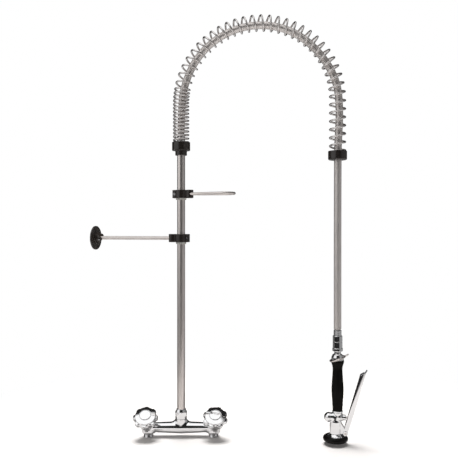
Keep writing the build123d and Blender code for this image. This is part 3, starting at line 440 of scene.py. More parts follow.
def wireSteel(name, level, rough):
    # Drawn wire: its lines follow its own length, read from its UV map
    material, start, place = blank(name, "along")
    lines = noise(start, place, 1.0, 3.0, 0.6, (9, 40, 1))
    wear = noise(start, place, 1.0, 2.0, 0.5, (1.5, 60, 1))
    darker = tuple(0.7 * channel for channel in level)
    coated(
        start, lines, 0.08, 0.0001,
        Base_Color=(0.5 * lines + 0.5 * wear).mixed(darker, level), Metallic=1.0, Roughness=rough + 0.12 * wear)
    return material


def braidedHose(radius=0.010, carriers=12, wires=6):
    # Two families of strips cross at 45 degrees, and a checkerboard of floor values says which is on top
    material, start, place = blank("steelBraid", "along")
    share = start.node("SeparateXYZ", {}, {"Vector": place})
    length = share.sibling(1) / (2 * math.pi * radius)
    left, right = (share + length) * carriers, (share - length) * carriers

    def strip(lane):
        across = lane.maths("FRACT")
        return (across * math.pi).maths("SINE") ** 0.5 + 0.12 * (across * (2 * math.pi * wires)).maths("SINE")

    above = 2 * (0.5 * (left.maths("FLOOR") + right.maths("FLOOR"))).maths("FRACT")
    top = above * strip(left) + (1 - above) * strip(right)
    tone = noise(start, place, 1.0, 2.0, 0.5, (3, 30, 1))
    # Colour goes dark towards each strip's edges and between its wires: painted shade of the round strands and their
    # gaps, with random tone from the noise
    shade = (top * 0.75 + tone * 0.35).maths("MINIMUM", 1.0)
    coated(
        start, top, 0.5, 0.0004,
        Base_Color=shade.mixed((0.40, 0.36, 0.34), (0.97, 0.92, 0.89)), Metallic=0.8, Roughness=0.42)
    return material


def moulding(name, colour, gloss, grain, grainStrength, mottle=0.25, gleam=0.5):
    # Moulded plastic or rubber: a fine skin grain, and a gloss that varies a little
    material, start, place = blank(name)
    skinGrain = noise(start, place, grain, 3.0, 0.6)
    patches = noise(start, place, 40.0, 3.0)
    lighter = tuple(channel * (1 + mottle) + 0.004 for channel in colour)
    coated(
        start, skinGrain, grainStrength, 0.0001, Specular_IOR_Level=gleam,
        Base_Color=patches.mixed(colour, lighter), Roughness=gloss + 0.12 * (patches - 0.5))
    return material


def plainMetal(name, colour, rough, grain=600.0):
    # Turned metal under no plate, with fine marks all over
    material, start, place = blank(name)
    marks = noise(start, place, grain, 3.0, 0.6)
    darker = tuple(0.8 * channel for channel in colour)
    coated(
        start, marks, 0.1, 0.0001,
        Base_Color=marks.mixed(darker, colour), Metallic=1.0, Roughness=rough + 0.1 * marks)
    return material


finishes = {
    "chrome": chromePlate(),
    "stainless": drawnSteel("drawnStainless", (700, 700, 5), (0.93, 0.865, 0.83), 0.36),
    "spring_wire": wireSteel("springWire", (0.94, 0.90, 0.88), 0.26),
    "hose_braid": braidedHose(),
    "black_moulding": moulding("blackMoulding", (0.030, 0.024, 0.021), 0.20, 700.0, 0.05),
    "grip_black": moulding("gripBlack", (0.0036, 0.003, 0.0025), 0.42, 2400.0, 0.10, gleam=0.07),
    "bumper_rubber": moulding("bumperRubber", (0.004, 0.0034, 0.003), 0.28, 1500.0, 0.08, gleam=0.12),
    "seal_rubber": moulding("sealRubber", (0.02, 0.02, 0.02), 0.5, 1500.0, 0.1),
    "fibre": moulding("gasketFibre", (0.25, 0.07, 0.05), 0.8, 900.0, 0.3),
    "ceramic": moulding("ceramicDisc", (0.75, 0.73, 0.68), 0.3, 900.0, 0.05, 0.03),
    "brass": plainMetal("turnedBrass", (0.70, 0.50, 0.24), 0.25),
    "nylon": moulding("bushNylon", (0.62, 0.61, 0.57), 0.45, 800.0, 0.08, 0.05),
    "screw_steel": plainMetal("screwSteel", (0.50, 0.50, 0.51), 0.3),
}
for row in frame["record"]["subparts"]:
    nodes[row["node"]].data.materials.clear()
    nodes[row["node"]].data.materials.append(finishes[row["material_slot"]])
print("finishes made")


def fitted(name, grids, place, body, slot, *replaced, **how):
    return stands(skin(name, grids, place, body, finishes[slot], **how), slot, *replaced)


def moulded(name, field, low, high, step, place, body, slot, node):
    return stands(cast(name, field, low, high, step, place, body, finishes[slot]), slot, node)


def lathed(name, size, place, body, slot, node, steps=5, sharp=38):
    # A closed profile turned round Z, and cut to a hexagon where its dictionary gives flats
    cut = hexagonal(size["flats"]) if "flats" in size else None
    return fitted(name, turned(closedLine(size["profile"], steps), 96, cut), place, body, slot, node, closed=True,
                  sharp=sharp)


# Mixer

mixerShape = {
    "barRadius": 16.5, "barTaper": 4.0, "barEnd": 90.0, "bossRadius": 14.5, "bossTop": 50.5, "threadRadius": 13.2,
    "outletTop": 61.0, "outletRadius": 11.9, "outletFloor": 30.0, "footRadius": 18.0, "footLow": 8.5,
    "footRound": 6.0, "rootRadius": 15.0, "rootFlare": 6.5, "rootLength": 30.0, "counterboreRadius": 14.5,
    "counterboreFloor": 24.0,
}


def mixerField(points, size=mixerShape):
    # A tapered bar between two domed feet, each with a leaning valve boss, and an upright boss half-way
    x, y, up = np.abs(points[:, 0]), points[:, 1], points[:, 2] - layout["barHeight"]
    height = points[:, 2]
    bar = common(span(y, up) - size["barRadius"] + size["barTaper"] * x / size["barEnd"], x - size["barEnd"])
    boss = common(span(x, y) - size["bossRadius"], slab(height, 33, size["bossTop"]), 1.0)
    foot = span(x - size["barEnd"], y, np.maximum(up, 0)) - size["footRadius"]
    foot = common(foot, size["footLow"] - height, size["footRound"])
    tilt = math.radians(layout["valveTilt"])
    along = up * math.sin(tilt) - y * math.cos(tilt)
    apart = span(x - layout["valveCentres"] / 2, up * math.cos(tilt) + y * math.sin(tilt))
    flare = size["rootRadius"] + size["rootFlare"] * along / size["rootLength"]
    root = common(0.977 * (apart - flare), slab(along, 0, size["rootLength"]), 1.2)
    sideways = 1.5 + 13.0 * (x ** 2 / (x ** 2 + y ** 2 + 1)) ** 2  # the boss flares along the bar, not across it
    body = joined(joined(joined(bar, boss, sideways), foot, 5.0), root, 3.0)
    body = joined(body, common(span(x, y) - size["threadRadius"], slab(height, 40, size["outletTop"]), 0.8))
    body = without(body, common(apart - size["counterboreRadius"], size["counterboreFloor"] - along), 0.5)
    return without(body, common(span(x, y) - size["outletRadius"], size["outletFloor"] - height))


moulded("mixerBody", mixerField, (-120, -42, 8), (120, 20, 61), 1.1, ground, "mixer", "chrome", "mixer_body")

inletTails = {
    "apart": 90.0, "pitch": 1.8, "cut": 0.8,
    "profile": [(8.5, 0), (13.2, 0, 0.5), (13.2, 8.5), (11.0, 8.5), (11.0, 21.5), (8.5, 21.5)],
}


def threaded(size, outer):
    # The outer radius goes in and out along a helix: r - cut (1 + cos(2 pi z / pitch - a)) / 2
    def shape(radius, height, angle):
        groove = size["cut"] * 0.5 * (1 + np.cos(2 * math.pi * height / size["pitch"] - angle))
        return np.where(radius > outer - 0.01, radius - groove, radius)
    return shape


def dense(line, gap):
    # The same line with points no further apart than the gap
    parts = [np.linspace(a, b, max(1, math.ceil(np.linalg.norm(b - a) / gap)), endpoint=False)
             for a, b in zip(line[:-1], line[1:])]
    return np.concatenate([*parts, line[-1:]])


tail = turned(dense(closedLine(inletTails["profile"]), 0.3), 72, threaded(inletTails, 13.2))
fitted("inletTails", [tail + (side * inletTails["apart"], 0, 0) for side in (-1, 1)], ground, "mixer", "chrome",
       "hot_inlet_tail", "cold_inlet_tail", closed=True, sharp=50)

knobShape = {
    "lobes": 8, "inner": 28.0, "outer": 34.0, "scallopCentre": 41.5, "scallopRadius": 12.0,
    "profile": [
        (4.05, 36), (8.5, 36, 0.4), (8.5, 32, 0.4), (19, 32, 1.2), (29.3, 36, 1.5), (34, 36, 2.2), (34, 46.8, 2.6),
        (28, 48.6, 0.8), (28, 52.2, 1.3), (16.1, 55.5, 0.7), (16.1, 52.5), (4.05, 52.5)],
    "cap": [(0, 52.5), (15.0, 52.5, 0.2), (15.0, 56.3, 1.1), (7.7, 56.65, 8), (0, 56.8)],
}


def lobed(size):
    # Outside the face, the rim is drawn in to circles round it: c cos d - sqrt(r^2 - (c sin d)^2)
    def shape(radius, height, angle):
        step = 2 * math.pi / size["lobes"]
        off = angle % step - step / 2
        inside = np.clip(size["scallopRadius"] ** 2 - (size["scallopCentre"] * np.sin(off)) ** 2, 0, None)
        reach = size["scallopCentre"] * np.cos(off) - np.sqrt(inside)
        share = (softMin(reach, size["outer"], 1.5) - size["inner"]) / (size["outer"] - size["inner"])
        return np.where(radius > size["inner"], size["inner"] + (radius - size["inner"]) * share, radius)
    return shape


for side, name, turn in ((-1, "hot", 0.0), (1, "cold", layout["coldTurn"])):
    knobGrid = turned(closedLine(knobShape["profile"]), 256, lobed(knobShape))
    fitted(name + "Knob", knobGrid, knobPlace(side, turn), name + "_handle", "chrome", name + "_knob", closed=True)
    fitted(name + "Cap", turned(roundedLine(knobShape["cap"])), knobPlace(side), name + "_handle", "chrome",
           name + "_cap")

riserNut = {
    "flats": 32.0,
    "profile": [
        (13.3, 50.8), (16.0, 50.8, 0.8), (16.0, 58.0, 0.3), (17.2, 58.0, 0.3), (18.5, 59.0, 0.4), (18.5, 68.0, 0.4),
        (17.0, 69.0, 0.3), (15.5, 69.0, 0.5), (12.6, 77.0, 0.8), (11.1, 77.0), (11.1, 64.4), (13.3, 64.4)],
}
lathed("riserNut", riserNut, ground, "mixer", "chrome", "riser_nut", sharp=30)
print("mixer made")

# Riser

riserPipe = {"profile": [(9.5, 64), (11.0, 64, 0.3), (11.0, 806, 0.3), (9.5, 806)]}
lathed("riserPipe", riserPipe, ground, "riser", "stainless", "riser_pipe")

collarShape = {
    "sleeve": 16.1, "low": 778.5, "ring": 791.9, "rim": 25.0, "top": 815.2, "cavity": 22.95, "floor": 797.0,
    "bore": 11.05, "hole": 2.45, "holeHeight": 785.2,
}


def collarField(points, size=collarShape):
    # A cup on a sleeve, with a hole across the sleeve on the +Y side
    x, y, z = points.T
    out = span(x, y)
    sleeve = common(out - size["sleeve"], slab(z, size["low"], size["ring"] + 3), 1.0)
    ring = common(out - size["rim"], slab(z, size["ring"], size["top"]), 1.1)
    body = without(joined(sleeve, ring, 1.0), common(out - size["cavity"], size["floor"] - z), 0.4)
    hole = common(span(x, z - size["holeHeight"]) - size["hole"], -y)
    return without(without(body, out - size["bore"], 0.4), hole, 0.3)


moulded("springCollar", collarField, (-25, -25, 778), (25, 25, 815.5), 0.7, ground, "riser", "black_moulding",
        "spring_collar")

springCup = {
    "profile": [(10.5, 759.4), (25, 759.4, 3.2), (25, 783.2, 0.9), (22.95, 783.2, 0.5), (22.95, 766, 0.8),
                (10.5, 766, 0.4)],
}
lathed("springCup", springCup, gun, "riser", "black_moulding", "spring_cup")

riserHoseNut = {
    "flats": 27.0,
    "profile": [(11.1, 798), (14.2, 798, 0.3), (15.6, 799, 0.4), (15.6, 816, 0.4), (14.2, 817, 0.3), (8.25, 817),
                (8.25, 811.2), (11.1, 811.2)],
}
lathed("riserHoseNut", riserHoseNut, ground, "riser", "chrome", "riser_hose_nut", sharp=30)

ferruleShape = {"bore": 5.0, "flange": 10.1, "flangeHeight": 2.4, "neck": 8.0, "groove": 0.45, "grooves": 4}


def ferruleLine(low, shell, radius, length, size=ferruleShape):
    # Flange, neck and a shell with crimped grooves
    step = length / (size["grooves"] + 1)
    crimps = [point for ring in range(size["grooves"]) for level in [shell + (ring + 1) * step] for point in (
        (radius, level - 0.9, 0.4), (radius - size["groove"], level - 0.4, 0.4),
        (radius - size["groove"], level + 0.4, 0.4), (radius, level + 0.9, 0.4))]
    rim = low + size["flangeHeight"]
    return closedLine([
        (size["bore"], low), (size["flange"], low, 0.3), (size["flange"], rim, 0.3), (size["neck"], rim),
        (size["neck"], shell), (radius, shell, 0.6), *crimps, (radius, shell + length, 1.2),
        (size["bore"], shell + length)])


fitted("hoseFerrules", [
    turned(ferruleLine(808.5, 817.3, 11.2, 20.7), 64),
    turned(ferruleLine(277.6, 289.6, 10.6, 14.7), 64) + (layout["archSpan"], 0, 0)], arch, "riser", "chrome",
    "hose_ferrules", closed=True)
print("riser made")

# Hose and its support spring, both in the arch's plane

hose = {
    "radius": 10.0, "sides": 40, "length": 1.3588,
    "route": [
        (0, 838), (0, 862), (1.5, 900), (5.5, 962), (37.1, 1039.5), (95.5, 1097.9), (171.7, 1129.5),
        (254.3, 1129.5), (330.5, 1097.9), (391, 1036), (427, 968), (433.5, 893), (430, 822), (427.5, 770),
        (427.5, 304.3)],
}
routeCurve = bpy.data.curves.new("hoseRoute", "CURVE")
routeCurve.dimensions = "3D"
routeCurve.resolution_u = 24
spline = routeCurve.splines.new("NURBS")
spline.points.add(len(hose["route"]) - 1)
spline.points.foreach_set("co", np.array([(x, 0, z, 1) for x, z in hose["route"]], np.float32).ravel())
spline.order_u = 3
spline.use_endpoint_u = True
routeObject = bpy.data.objects.new("hoseRoute", routeCurve)
bpy.context.scene.collection.objects.link(routeObject)
routeMesh = bpy.data.meshes.new_from_object(routeObject)
hosePath = np.zeros(3 * len(routeMesh.vertices), np.float32)
routeMesh.vertices.foreach_get("co", hosePath)
hosePath = hosePath.reshape(-1, 3).astype(float)
bpy.data.objects.remove(routeObject)
bpy.data.meshes.remove(routeMesh)
gone = np.concatenate([[0], np.cumsum(np.linalg.norm(np.diff(hosePath, axis=0), axis=1))])
even = np.linspace(0, gone[-1], 320)
hosePath = np.stack([np.interp(even, gone, hosePath[:, axis]) for axis in range(3)], axis=1)
print("hose path", len(hosePath), "length", round(gone[-1] / 1000, 4))
hosePiece = fitted("supplyHose", drawn(hosePath, (0, 1.0, 0), hose["radius"], hose["sides"]), arch, "riser",
                   "hose_braid", "supply_hose", weighted=False)
hoseLine = located(hosePath, arch)

springCoil = {
    "radius": 20.25, "wire": 2.6, "start": 799.65, "end": 768.65, "crown": 922.0, "arch": 213.75,
    "endTurns": 1, "endPitch": 5.6, "closeTurns": 16, "closePitch": 9.9, "openTurns": 35, "lean": 0.16,
}


def springWire(coil, perTurn=28):
    # Wire centre = guide + R (cos t inward + sin t (across - lean forward)). The guide goes up, half round the
    # arch and down, and the turns lean more and more up to the top, and then until near the cup
    turns = 2 * coil["endTurns"] + coil["closeTurns"] + coil["openTurns"]
    rise, bend = coil["crown"] - coil["start"], math.pi * coil["arch"]
    total = rise + bend + coil["crown"] - coil["end"]
    endTravel, closeTravel = coil["endTurns"] * coil["endPitch"], coil["closeTurns"] * coil["closePitch"]
    marks = [0, coil["endTurns"], coil["endTurns"] + coil["closeTurns"], turns - coil["endTurns"], turns]
    places = [0, endTravel, endTravel + closeTravel, total - endTravel, total]
    turn = np.linspace(0, turns, turns * perTurn + 1)
    travel = np.interp(turn, marks, places)
    angle = np.clip((travel - rise) / coil["arch"], 0, math.pi)
    inward = np.stack([np.cos(angle), 0 * angle, -np.sin(angle)], axis=1)
    guide = np.array([coil["arch"], 0, coil["crown"]]) - inward * coil["arch"]
    guide[:, 2] += np.minimum(travel - rise, 0) - np.clip(travel - rise - bend, 0, None)
    spin = 2 * math.pi * turn[:, None]
    lean = np.minimum((travel - rise) / (0.45 * bend), (total - endTravel - travel) / 60)
    lean = coil["lean"] * np.clip(lean, 0, 1)[:, None]
    across = np.array([0, 1.0, 0]) - lean * np.stack([-inward[:, 2], 0 * angle, inward[:, 0]], axis=1)
    radial = inward * np.cos(spin) + across * np.sin(spin)
    return guide + radial * coil["radius"], radial


wirePath, wireOut = springWire(springCoil)
fitted("supportSpring", drawn(wirePath, wireOut, springCoil["wire"], 12), arch, "riser", "spring_wire",
       "support_spring", weighted=False)
print("hose and spring made")

# Clamps on the riser, with the wire hook and the stay

clampShape = {
    "radius": 16.5, "half": 11.35, "edge": 1.5, "bulbReach": 25.5, "bulbRadius": 10.0, "arm": 7.25, "earReach": 23.0,
    "ear": 8.0, "bore": 13.66, "split": 1.2, "splitEnd": 12.0, "screwReach": 18.0, "screwHole": 2.55,
    "headHole": 4.05, "headSeat": 4.2, "blend": 2.5,
}


def clampField(arm):
    def field(points, size=clampShape):
        # In plan a ring with ears towards -X and a bulb towards +X; arm gives what is bored into the bulb
        x, y, z = points.T
        ears = common(slab(x, -size["earReach"], 0), np.abs(y) - size["ear"], 1.0)
        bulb = joined(common(slab(x, 0, size["bulbReach"]), np.abs(y) - size["arm"]),
                      span(x - size["bulbReach"], y) - size["bulbRadius"], size["blend"])
        plan = joined(joined(span(x, y) - size["radius"], bulb, size["blend"]), ears, size["blend"])
        body = without(common(plan, np.abs(z) - size["half"], size["edge"]), span(x, y) - size["bore"], 0.5)
        body = without(body, common(np.abs(y) - size["split"], x + size["splitEnd"]), 0.4)
        off = span(x + size["screwReach"], z)
        head = common(off - size["headHole"], y + size["headSeat"])
        body = without(body, joined(off - size["screwHole"], head), 0.3)
        return without(body, arm(x, y, z), 0.3)
    return field


bored = {"legApart": 5.5, "legHole": 3.8, "legFloor": 21.5, "rodHole": 5.05, "rodFloor": 18.0}


def hookLegs(x, y, z):
    return common(span(np.abs(y) - bored["legApart"], z) - bored["legHole"], bored["legFloor"] - x)


def rodHole(x, y, z):
    return common(span(y, z) - bored["rodHole"], bored["rodFloor"] - x)


clampScrew = {
    "socket": 4.0,
    "profile": [(0, 2.0), (2.0, 2.0), (2.0, 0, 0.15), (4.0, 0, 0.5), (4.0, 3.8, 0.2), (2.5, 3.8), (2.5, 13.8, 0.4),
                (0, 13.8)],
}
for name, place, hole, body in (("hook", hookArm, hookLegs, "hook_arm"), ("stay", stayArm, rodHole, "stay_arm")):
    moulded(name + "Clamp", clampField(hole), (-24, -17, -12), (36, 17, 12), 0.65, place, body, "black_moulding",
            name + "_clamp")
    screwPlace = within(place, acrossGun, (-clampShape["screwReach"], -clampShape["ear"], 0))
    fitted(name + "Screw", turned(roundedLine(clampScrew["profile"]), 48, hexagonal(clampScrew["socket"], True)),
           screwPlace, body, "screw_steel", name + "_screw")

hookLoop = {"wire": 3.75, "leg": 5.5, "start": 21.5, "bend": 40.0, "bendRadius": 30.0, "loop": 24.0, "centre": 128.25}


def loopLine(size, steps=26):
    # Two legs that spread until they touch the loop's circle
    reach = size["centre"] - size["bend"]
    spread = math.asin(size["loop"] / math.hypot(reach, size["leg"])) - math.atan2(size["leg"], reach)
    corner = size["loop"] * math.tan((math.pi / 2 + spread) / 2)
    legs = [(size["start"], -size["leg"]), (size["bend"], -size["leg"], size["bendRadius"]),
            (size["centre"] + size["loop"], -corner, size["loop"])]
    line = roundedLine([*legs, *[(x, -y, *more) for x, y, *more in reversed(legs)]], steps)
    return np.column_stack([line, 0 * line[:, 0]])


fitted("hookLoop", drawn(loopLine(hookLoop), (0, 0, 1.0), hookLoop["wire"], 24), hookArm, "hook_arm", "stainless",
       "hook_loop", weighted=False)

stayRod = {"radius": 5.0, "start": 18.0, "end": 252.8}
fitted("stayRod", drawn(np.array([(stayRod["start"], 0, 0), (stayRod["end"], 0, 0.0)]), (0, 0, 1.0),
                        stayRod["radius"], 40), stayArm, "stay_arm", "stainless", "stay_rod")

flangeShape = {
    "radius": 34.0, "thick": 5.0, "step": 15.0, "stepHeight": 13.0, "hub": 13.5, "nose": 7.3, "noseHeight": 24.0,
    "slope": 0.403, "rodHole": 5.05, "rodFloor": 6.2, "screwCircle": 24.0, "screwAngle": 22.0, "screwHole": 2.6,
    "grubHole": 2.45, "grubAngle": 114.0, "grubLevel": 17.5, "sinkStart": 2.5, "sinkSlope": 0.96,
}


def turnedBy(degrees, x, y):
    c, s = math.cos(math.radians(degrees)), math.sin(math.radians(degrees))
    return x * c + y * s, y * c - x * s


def flangeField(points, size=flangeShape):
    # A disc with a stepped hub, bored for the rod, two countersunk screws and a grub screw
    x, y, z = points.T
    out = span(x, y)
    disc = common(out - size["radius"], slab(z, 0, size["thick"]), 1.3)
    hub = common(out - size["hub"], 0.93 * (z - size["noseHeight"] + size["slope"] * (out - size["nose"])), 1.2)
    hub = common(hub, z - size["noseHeight"], 0.6)
    hub = common(joined(hub, common(out - size["step"], z - size["stepHeight"], 1.0), 0.6), -z)
    body = without(joined(disc, hub, 1.2), common(out - size["rodHole"], size["rodFloor"] - z), 0.4)
    along, off = turnedBy(size["screwAngle"], x, y)
    sink = size["sinkSlope"] * np.maximum(z - size["sinkStart"], 0)
    screws = span(np.abs(along) - size["screwCircle"], off) - size["screwHole"] - sink
    along, off = turnedBy(size["grubAngle"], x, y)
    grub = common(span(off, z - size["grubLevel"]) - size["grubHole"], -along)
    return without(without(body, screws, 0.3), grub, 0.3)


moulded("wallFlange", flangeField, (-34, -34, 0), (34, 34, 24), 0.8, wall, "wall_flange", "black_moulding",
        "wall_flange")
print("clamps, hook and stay made")

# Gun

hoseNut = {
    "profile": [
        (10.35, 256.2), (12.85, 256.2, 1.0), (12.85, 272.75, 0.3), (11.95, 272.95, 0.2), (11.95, 273.95, 0.2),
        (12.85, 274.15, 0.3), (12.85, 289.3, 1.3), (8.2, 289.3), (8.2, 280.2), (10.35, 280.2)],
}
lathed("hoseNut", hoseNut, gun, "gun", "chrome", "hose_nut")

gunInlet = {
    "profile": [
        (5.5, 275.1), (10.25, 275.1, 0.5), (10.25, 256.2), (13.8, 256.2, 1.2), (13.8, 248.6, 1.6), (8.7, 246.8, 1.5),
        (8.7, 241.8, 1.8), (13.1, 238.8, 3.0), (16.3, 231.8, 4.0), (16.35, 224.2, 0.8), (8.05, 224.2), (8.05, 232.2),
        (5.5, 232.2)],
}
lathed("gunInlet", gunInlet, gun, "gun", "chrome", "gun_inlet", steps=8)

gripShape = {
    "top": 224.15, "bore": 8.05,
    "outline": [(16.6, 0), (17.15, 5.3), (13.9, 15.8), (13.0, 27.5), (14.7, 53.3), (16.05, 78.0), (14.6, 107.0),
                (12.85, 135.1)],
}
gripLine = flowing([(radius, gripShape["top"] - drop) for radius, drop in gripShape["outline"]], 9)
gripEnds = [(gripShape["bore"], gripLine[-1, 1]), (gripShape["bore"], gripLine[0, 1])]
fitted("grip", turned(np.concatenate([gripLine, gripEnds])), gun, "gun", "grip_black", "grip", closed=True)

gripRing = {"profile": [(8.05, 85.15), (13.9, 85.15, 0.9), (13.9, 89.05, 0.9), (8.05, 89.05)]}
lathed("gripRing", gripRing, gun, "gun", "chrome", "grip_ring")

valveShape = {
    "socket": 13.0, "socketLow": 66.35, "socketTop": 85.15, "tube": 8.05, "tubeEnd": 78.45, "chamber": 12.5,
    "chamberBack": -20.7, "chamberFront": 8.0, "nose": 9.5, "noseEnd": 13.4, "barrel": 15.25, "barrelOff": 5.4,
    "barrelLow": 28.0, "barrelTop": 64.0, "slope": 0.425, "slopeTop": 74.0, "spigot": 9.0, "spigotLow": 19.0,
    "lug": 7.7, "lugLow": 28.3, "lugTop": 61.0, "lugSlope": (28.0, 18.0, 33.3), "lugHeight": 72.3, "eye": 6.0,
    "pinX": 20.3, "pinZ": 30.0, "pinHole": 2.05, "chamberBore": 9.5, "seat": -10.0, "seatBore": 5.0,
    "stemBore": 2.58, "packing": 6.05, "packingStart": 3.0, "barrelBore": 4.0,
}


def valveField(points, size=valveShape):
    # Socket, cross chamber, spray barrel and the lug for the lever's pin, with their bores
    x, y, z = points.T
    cross, barrelOut = span(y, z - layout["valveAxis"]), span(x + size["barrelOff"], y)
    socket = common(span(x, y) - size["socket"], slab(z, size["socketLow"], size["socketTop"]), 1.2)
    chamber = common(cross - size["chamber"], slab(x, size["chamberBack"], size["chamberFront"]), 1.0)
    nose = common(cross - size["nose"], slab(x, 0, size["noseEnd"]), 0.8)
    taper = 0.92 * (barrelOut - size["barrel"] + size["slope"] * (z - size["barrelTop"]))
    barrel = common(common(barrelOut - size["barrel"], taper, 3.0), slab(z, size["barrelLow"], size["slopeTop"]), 1.0)
    spigot = common(barrelOut - size["spigot"], slab(z, size["spigotLow"], size["barrelLow"] + 4))
    out, up, length = size["lugSlope"]
    edge = common((out * x + up * (z - size["lugHeight"])) / length, z - size["lugTop"], 3.0)
    lug = common(common(edge, size["lugLow"] - z), slab(x, -4, size["pinX"] + 4.0))
    lug = joined(lug, span(x - size["pinX"], z - size["pinZ"]) - size["eye"], 1.5)
    lug = common(lug, np.abs(y) - size["lug"], 1.0)
    body = joined(joined(joined(chamber, nose, 1.0), socket, 2.5), joined(barrel, lug, 2.0), 2.5)
    body = joined(body, spigot)
    holes = joined(common(cross - size["chamberBore"], x - size["seat"]), common(
        cross - size["seatBore"], slab(x, size["seat"] - 1, 2.0)))
    holes = joined(joined(holes, common(cross - size["stemBore"], -x)), common(
        cross - size["packing"], size["packingStart"] - x))
    holes = joined(holes, common(span(x, y) - size["tube"], size["tubeEnd"] - z))
    holes = joined(holes, common(barrelOut - size["barrelBore"], z - layout["valveAxis"]))
    return without(body, joined(holes, span(x - size["pinX"], z - size["pinZ"]) - size["pinHole"]), 0.25)


moulded("valveBody", valveField, (-22, -16, 18), (27, 16, 86), 0.75, gun, "gun", "chrome", "valve_body")

domeCap = {
    "radius": 13.0, "centre": -22.9,
    "rest": [(13.0, -20.75), (9.45, -20.7), (9.45, -17.2), (8.0, -17.2), (8.0, -27.0), (7.2, -27.0), (7.2, -31.0),
             (0, -31.0)],
}
domeAngle = np.linspace(0, math.pi / 2, 26)[:, None]
domeArc = domeCap["radius"] * np.hstack([np.sin(domeAngle), -np.cos(domeAngle)]) + (0, domeCap["centre"])
fitted("domeCap", turned(np.concatenate([domeArc, domeCap["rest"]])), valveLine, "gun", "chrome", "dome_cap")

packingNut = {
    "profile": [(4.55, 3.2), (6.0, 3.2, 0.3), (6.0, 13.4), (7.5, 13.4, 0.5), (7.5, 20.6, 1.0), (6.2, 22.0, 0.6),
                (2.58, 22.0), (2.58, 7.6), (4.55, 7.6)],
}
packingLine = roundedLine([*packingNut["profile"], packingNut["profile"][0]])[:-1]
fitted("packingNut", turned(packingLine, 64), valveLine, "gun", "chrome", "packing_nut", closed=True)

leverShape = {
    "half": 6.0, "outside": 9.5, "inside": 8.0, "web": 4.5, "webStart": 12.0, "length": 170.0, "corner": 8.49,
    "foot": 6.5, "pin": 2.08, "tipLength": 9.0, "tipWidth": 7.6, "tipBend": 16.0, "sheet": 1.5, "lean": 16.3,
    "crown": 0.03,
}


def leverField(points, size=leverShape):
    # A pressed channel: rounded outside less a rounded inside, two eyes at its foot and a bent tip
    x, y, z = points.T
    side = np.abs(y)
    cheek = 0.95 * (side - size["outside"] + size["crown"] * x ** 2)
    channel = common(common(x - size["half"], cheek, 1.5), -size["half"] - x, 0.4)
    channel = common(channel, slab(z, 0, size["length"]))
    channel = common(channel, 0.707 * (size["corner"] - x - size["half"] - size["length"] + z), 1.0)
    eyes = common(span(x, z) - size["foot"], side - size["outside"], 0.5)
    hollow = common(x - size["web"], side - size["inside"], 1.0)
    body = without(joined(channel, eyes, 1.0), hollow, 0.3)
    body = without(body, common(side - size["inside"], z - size["webStart"]), 0.3)
    along, through = turnedBy(size["tipBend"], z - size["length"], x - size["web"])
    tip = common(along - size["tipLength"], side - size["tipWidth"], 3.0)
    tip = common(slab(through, 0, size["sheet"]), tip, 0.5)
    body = joined(body, common(tip, -2.0 - along), 1.5)
    return without(body, span(x, z) - size["pin"], 0.2)


leverPlace = within(gun, aboutY(leverShape["lean"]), (valveShape["pinX"], 0, valveShape["pinZ"]))
moulded("lever", leverField, (-7, -10, -7), (10, 10, 181), 0.6, leverPlace, "lever", "chrome", "lever")

leverPin = {
    "profile": [(0, -10.6), (3.2, -10.6, 0.5), (3.2, -9.8), (2.0, -9.8), (2.0, 9.8), (3.2, 9.8), (3.2, 10.6, 0.5),
                (0, 10.6)],
}
pinPlace = within(gun, acrossGun, (valveShape["pinX"], 0, valveShape["pinZ"]))
fitted("leverPin", turned(roundedLine(leverPin["profile"]), 48), pinPlace, "gun", "stainless", "lever_pin")

sprayDish = {
    "profile": [
        (9.05, 28), (15.4, 28.0, 1.0), (18.65, 23.2, 12.0), (24.2, 20.7, 0.6), (24.4, 19.4, 0.5), (20.5, 18.2),
        (20.5, 9.6, 0.6), (18.5, 9.5), (18.5, 17), (9.05, 17)],
}
lathed("sprayDish", sprayDish, sprayLine, "gun", "chrome", "spray_dish", steps=8)

bumperShape = {"ring": 25.4, "height": 14.6, "radius": 7.9, "from": -127.9, "to": 95.8,
               "rest": [(24.6, 19.1), (20.55, 17.9)]}
bumperAngle = np.radians(np.linspace(bumperShape["from"], bumperShape["to"], 44))[:, None]
bumperArc = bumperShape["radius"] * np.hstack([np.cos(bumperAngle), np.sin(bumperAngle)]) + (
    bumperShape["ring"], bumperShape["height"])
fitted("bumper", turned(np.concatenate([bumperArc, bumperShape["rest"]]), 128), sprayLine, "gun", "bumper_rubber",
       "bumper", closed=True)

lockShape = {"ring": 20.6, "wire": 2.0, "height": 227.7, "lean": -18.9, "tail": (31.9, 0, 2.8), "stub": 12.65}


def lockGrids(size):
    # The ring, its tail and the two stubs
    angle = np.linspace(0, 2 * math.pi, 96, endpoint=False)
    circle = size["ring"] * np.stack([np.cos(angle), np.sin(angle), 0 * angle], axis=1)
    ring = drawn(circle, (0, 0, 1.0), size["wire"], closed=True)
    tail = np.array([(size["ring"], 0, 0), size["tail"]], float)
    stubs = [np.array([(0, side * size["stub"], 0), (0, side * size["ring"], 0)], float) for side in (-1, 1)]
    return [np.concatenate([ring, ring[:1]]), *[drawn(line, (0, 0, 1.0), size["wire"]) for line in (tail, *stubs)]]


lockPlace = within(gun, aboutY(lockShape["lean"]), (0, 0, lockShape["height"]))
fitted("lockRing", lockGrids(lockShape), lockPlace, "lock_ring", "stainless", "lock_ring", weighted=False)
print("gun made")

# Studio: a white floor that takes the shadow, and what bright metal mirrors

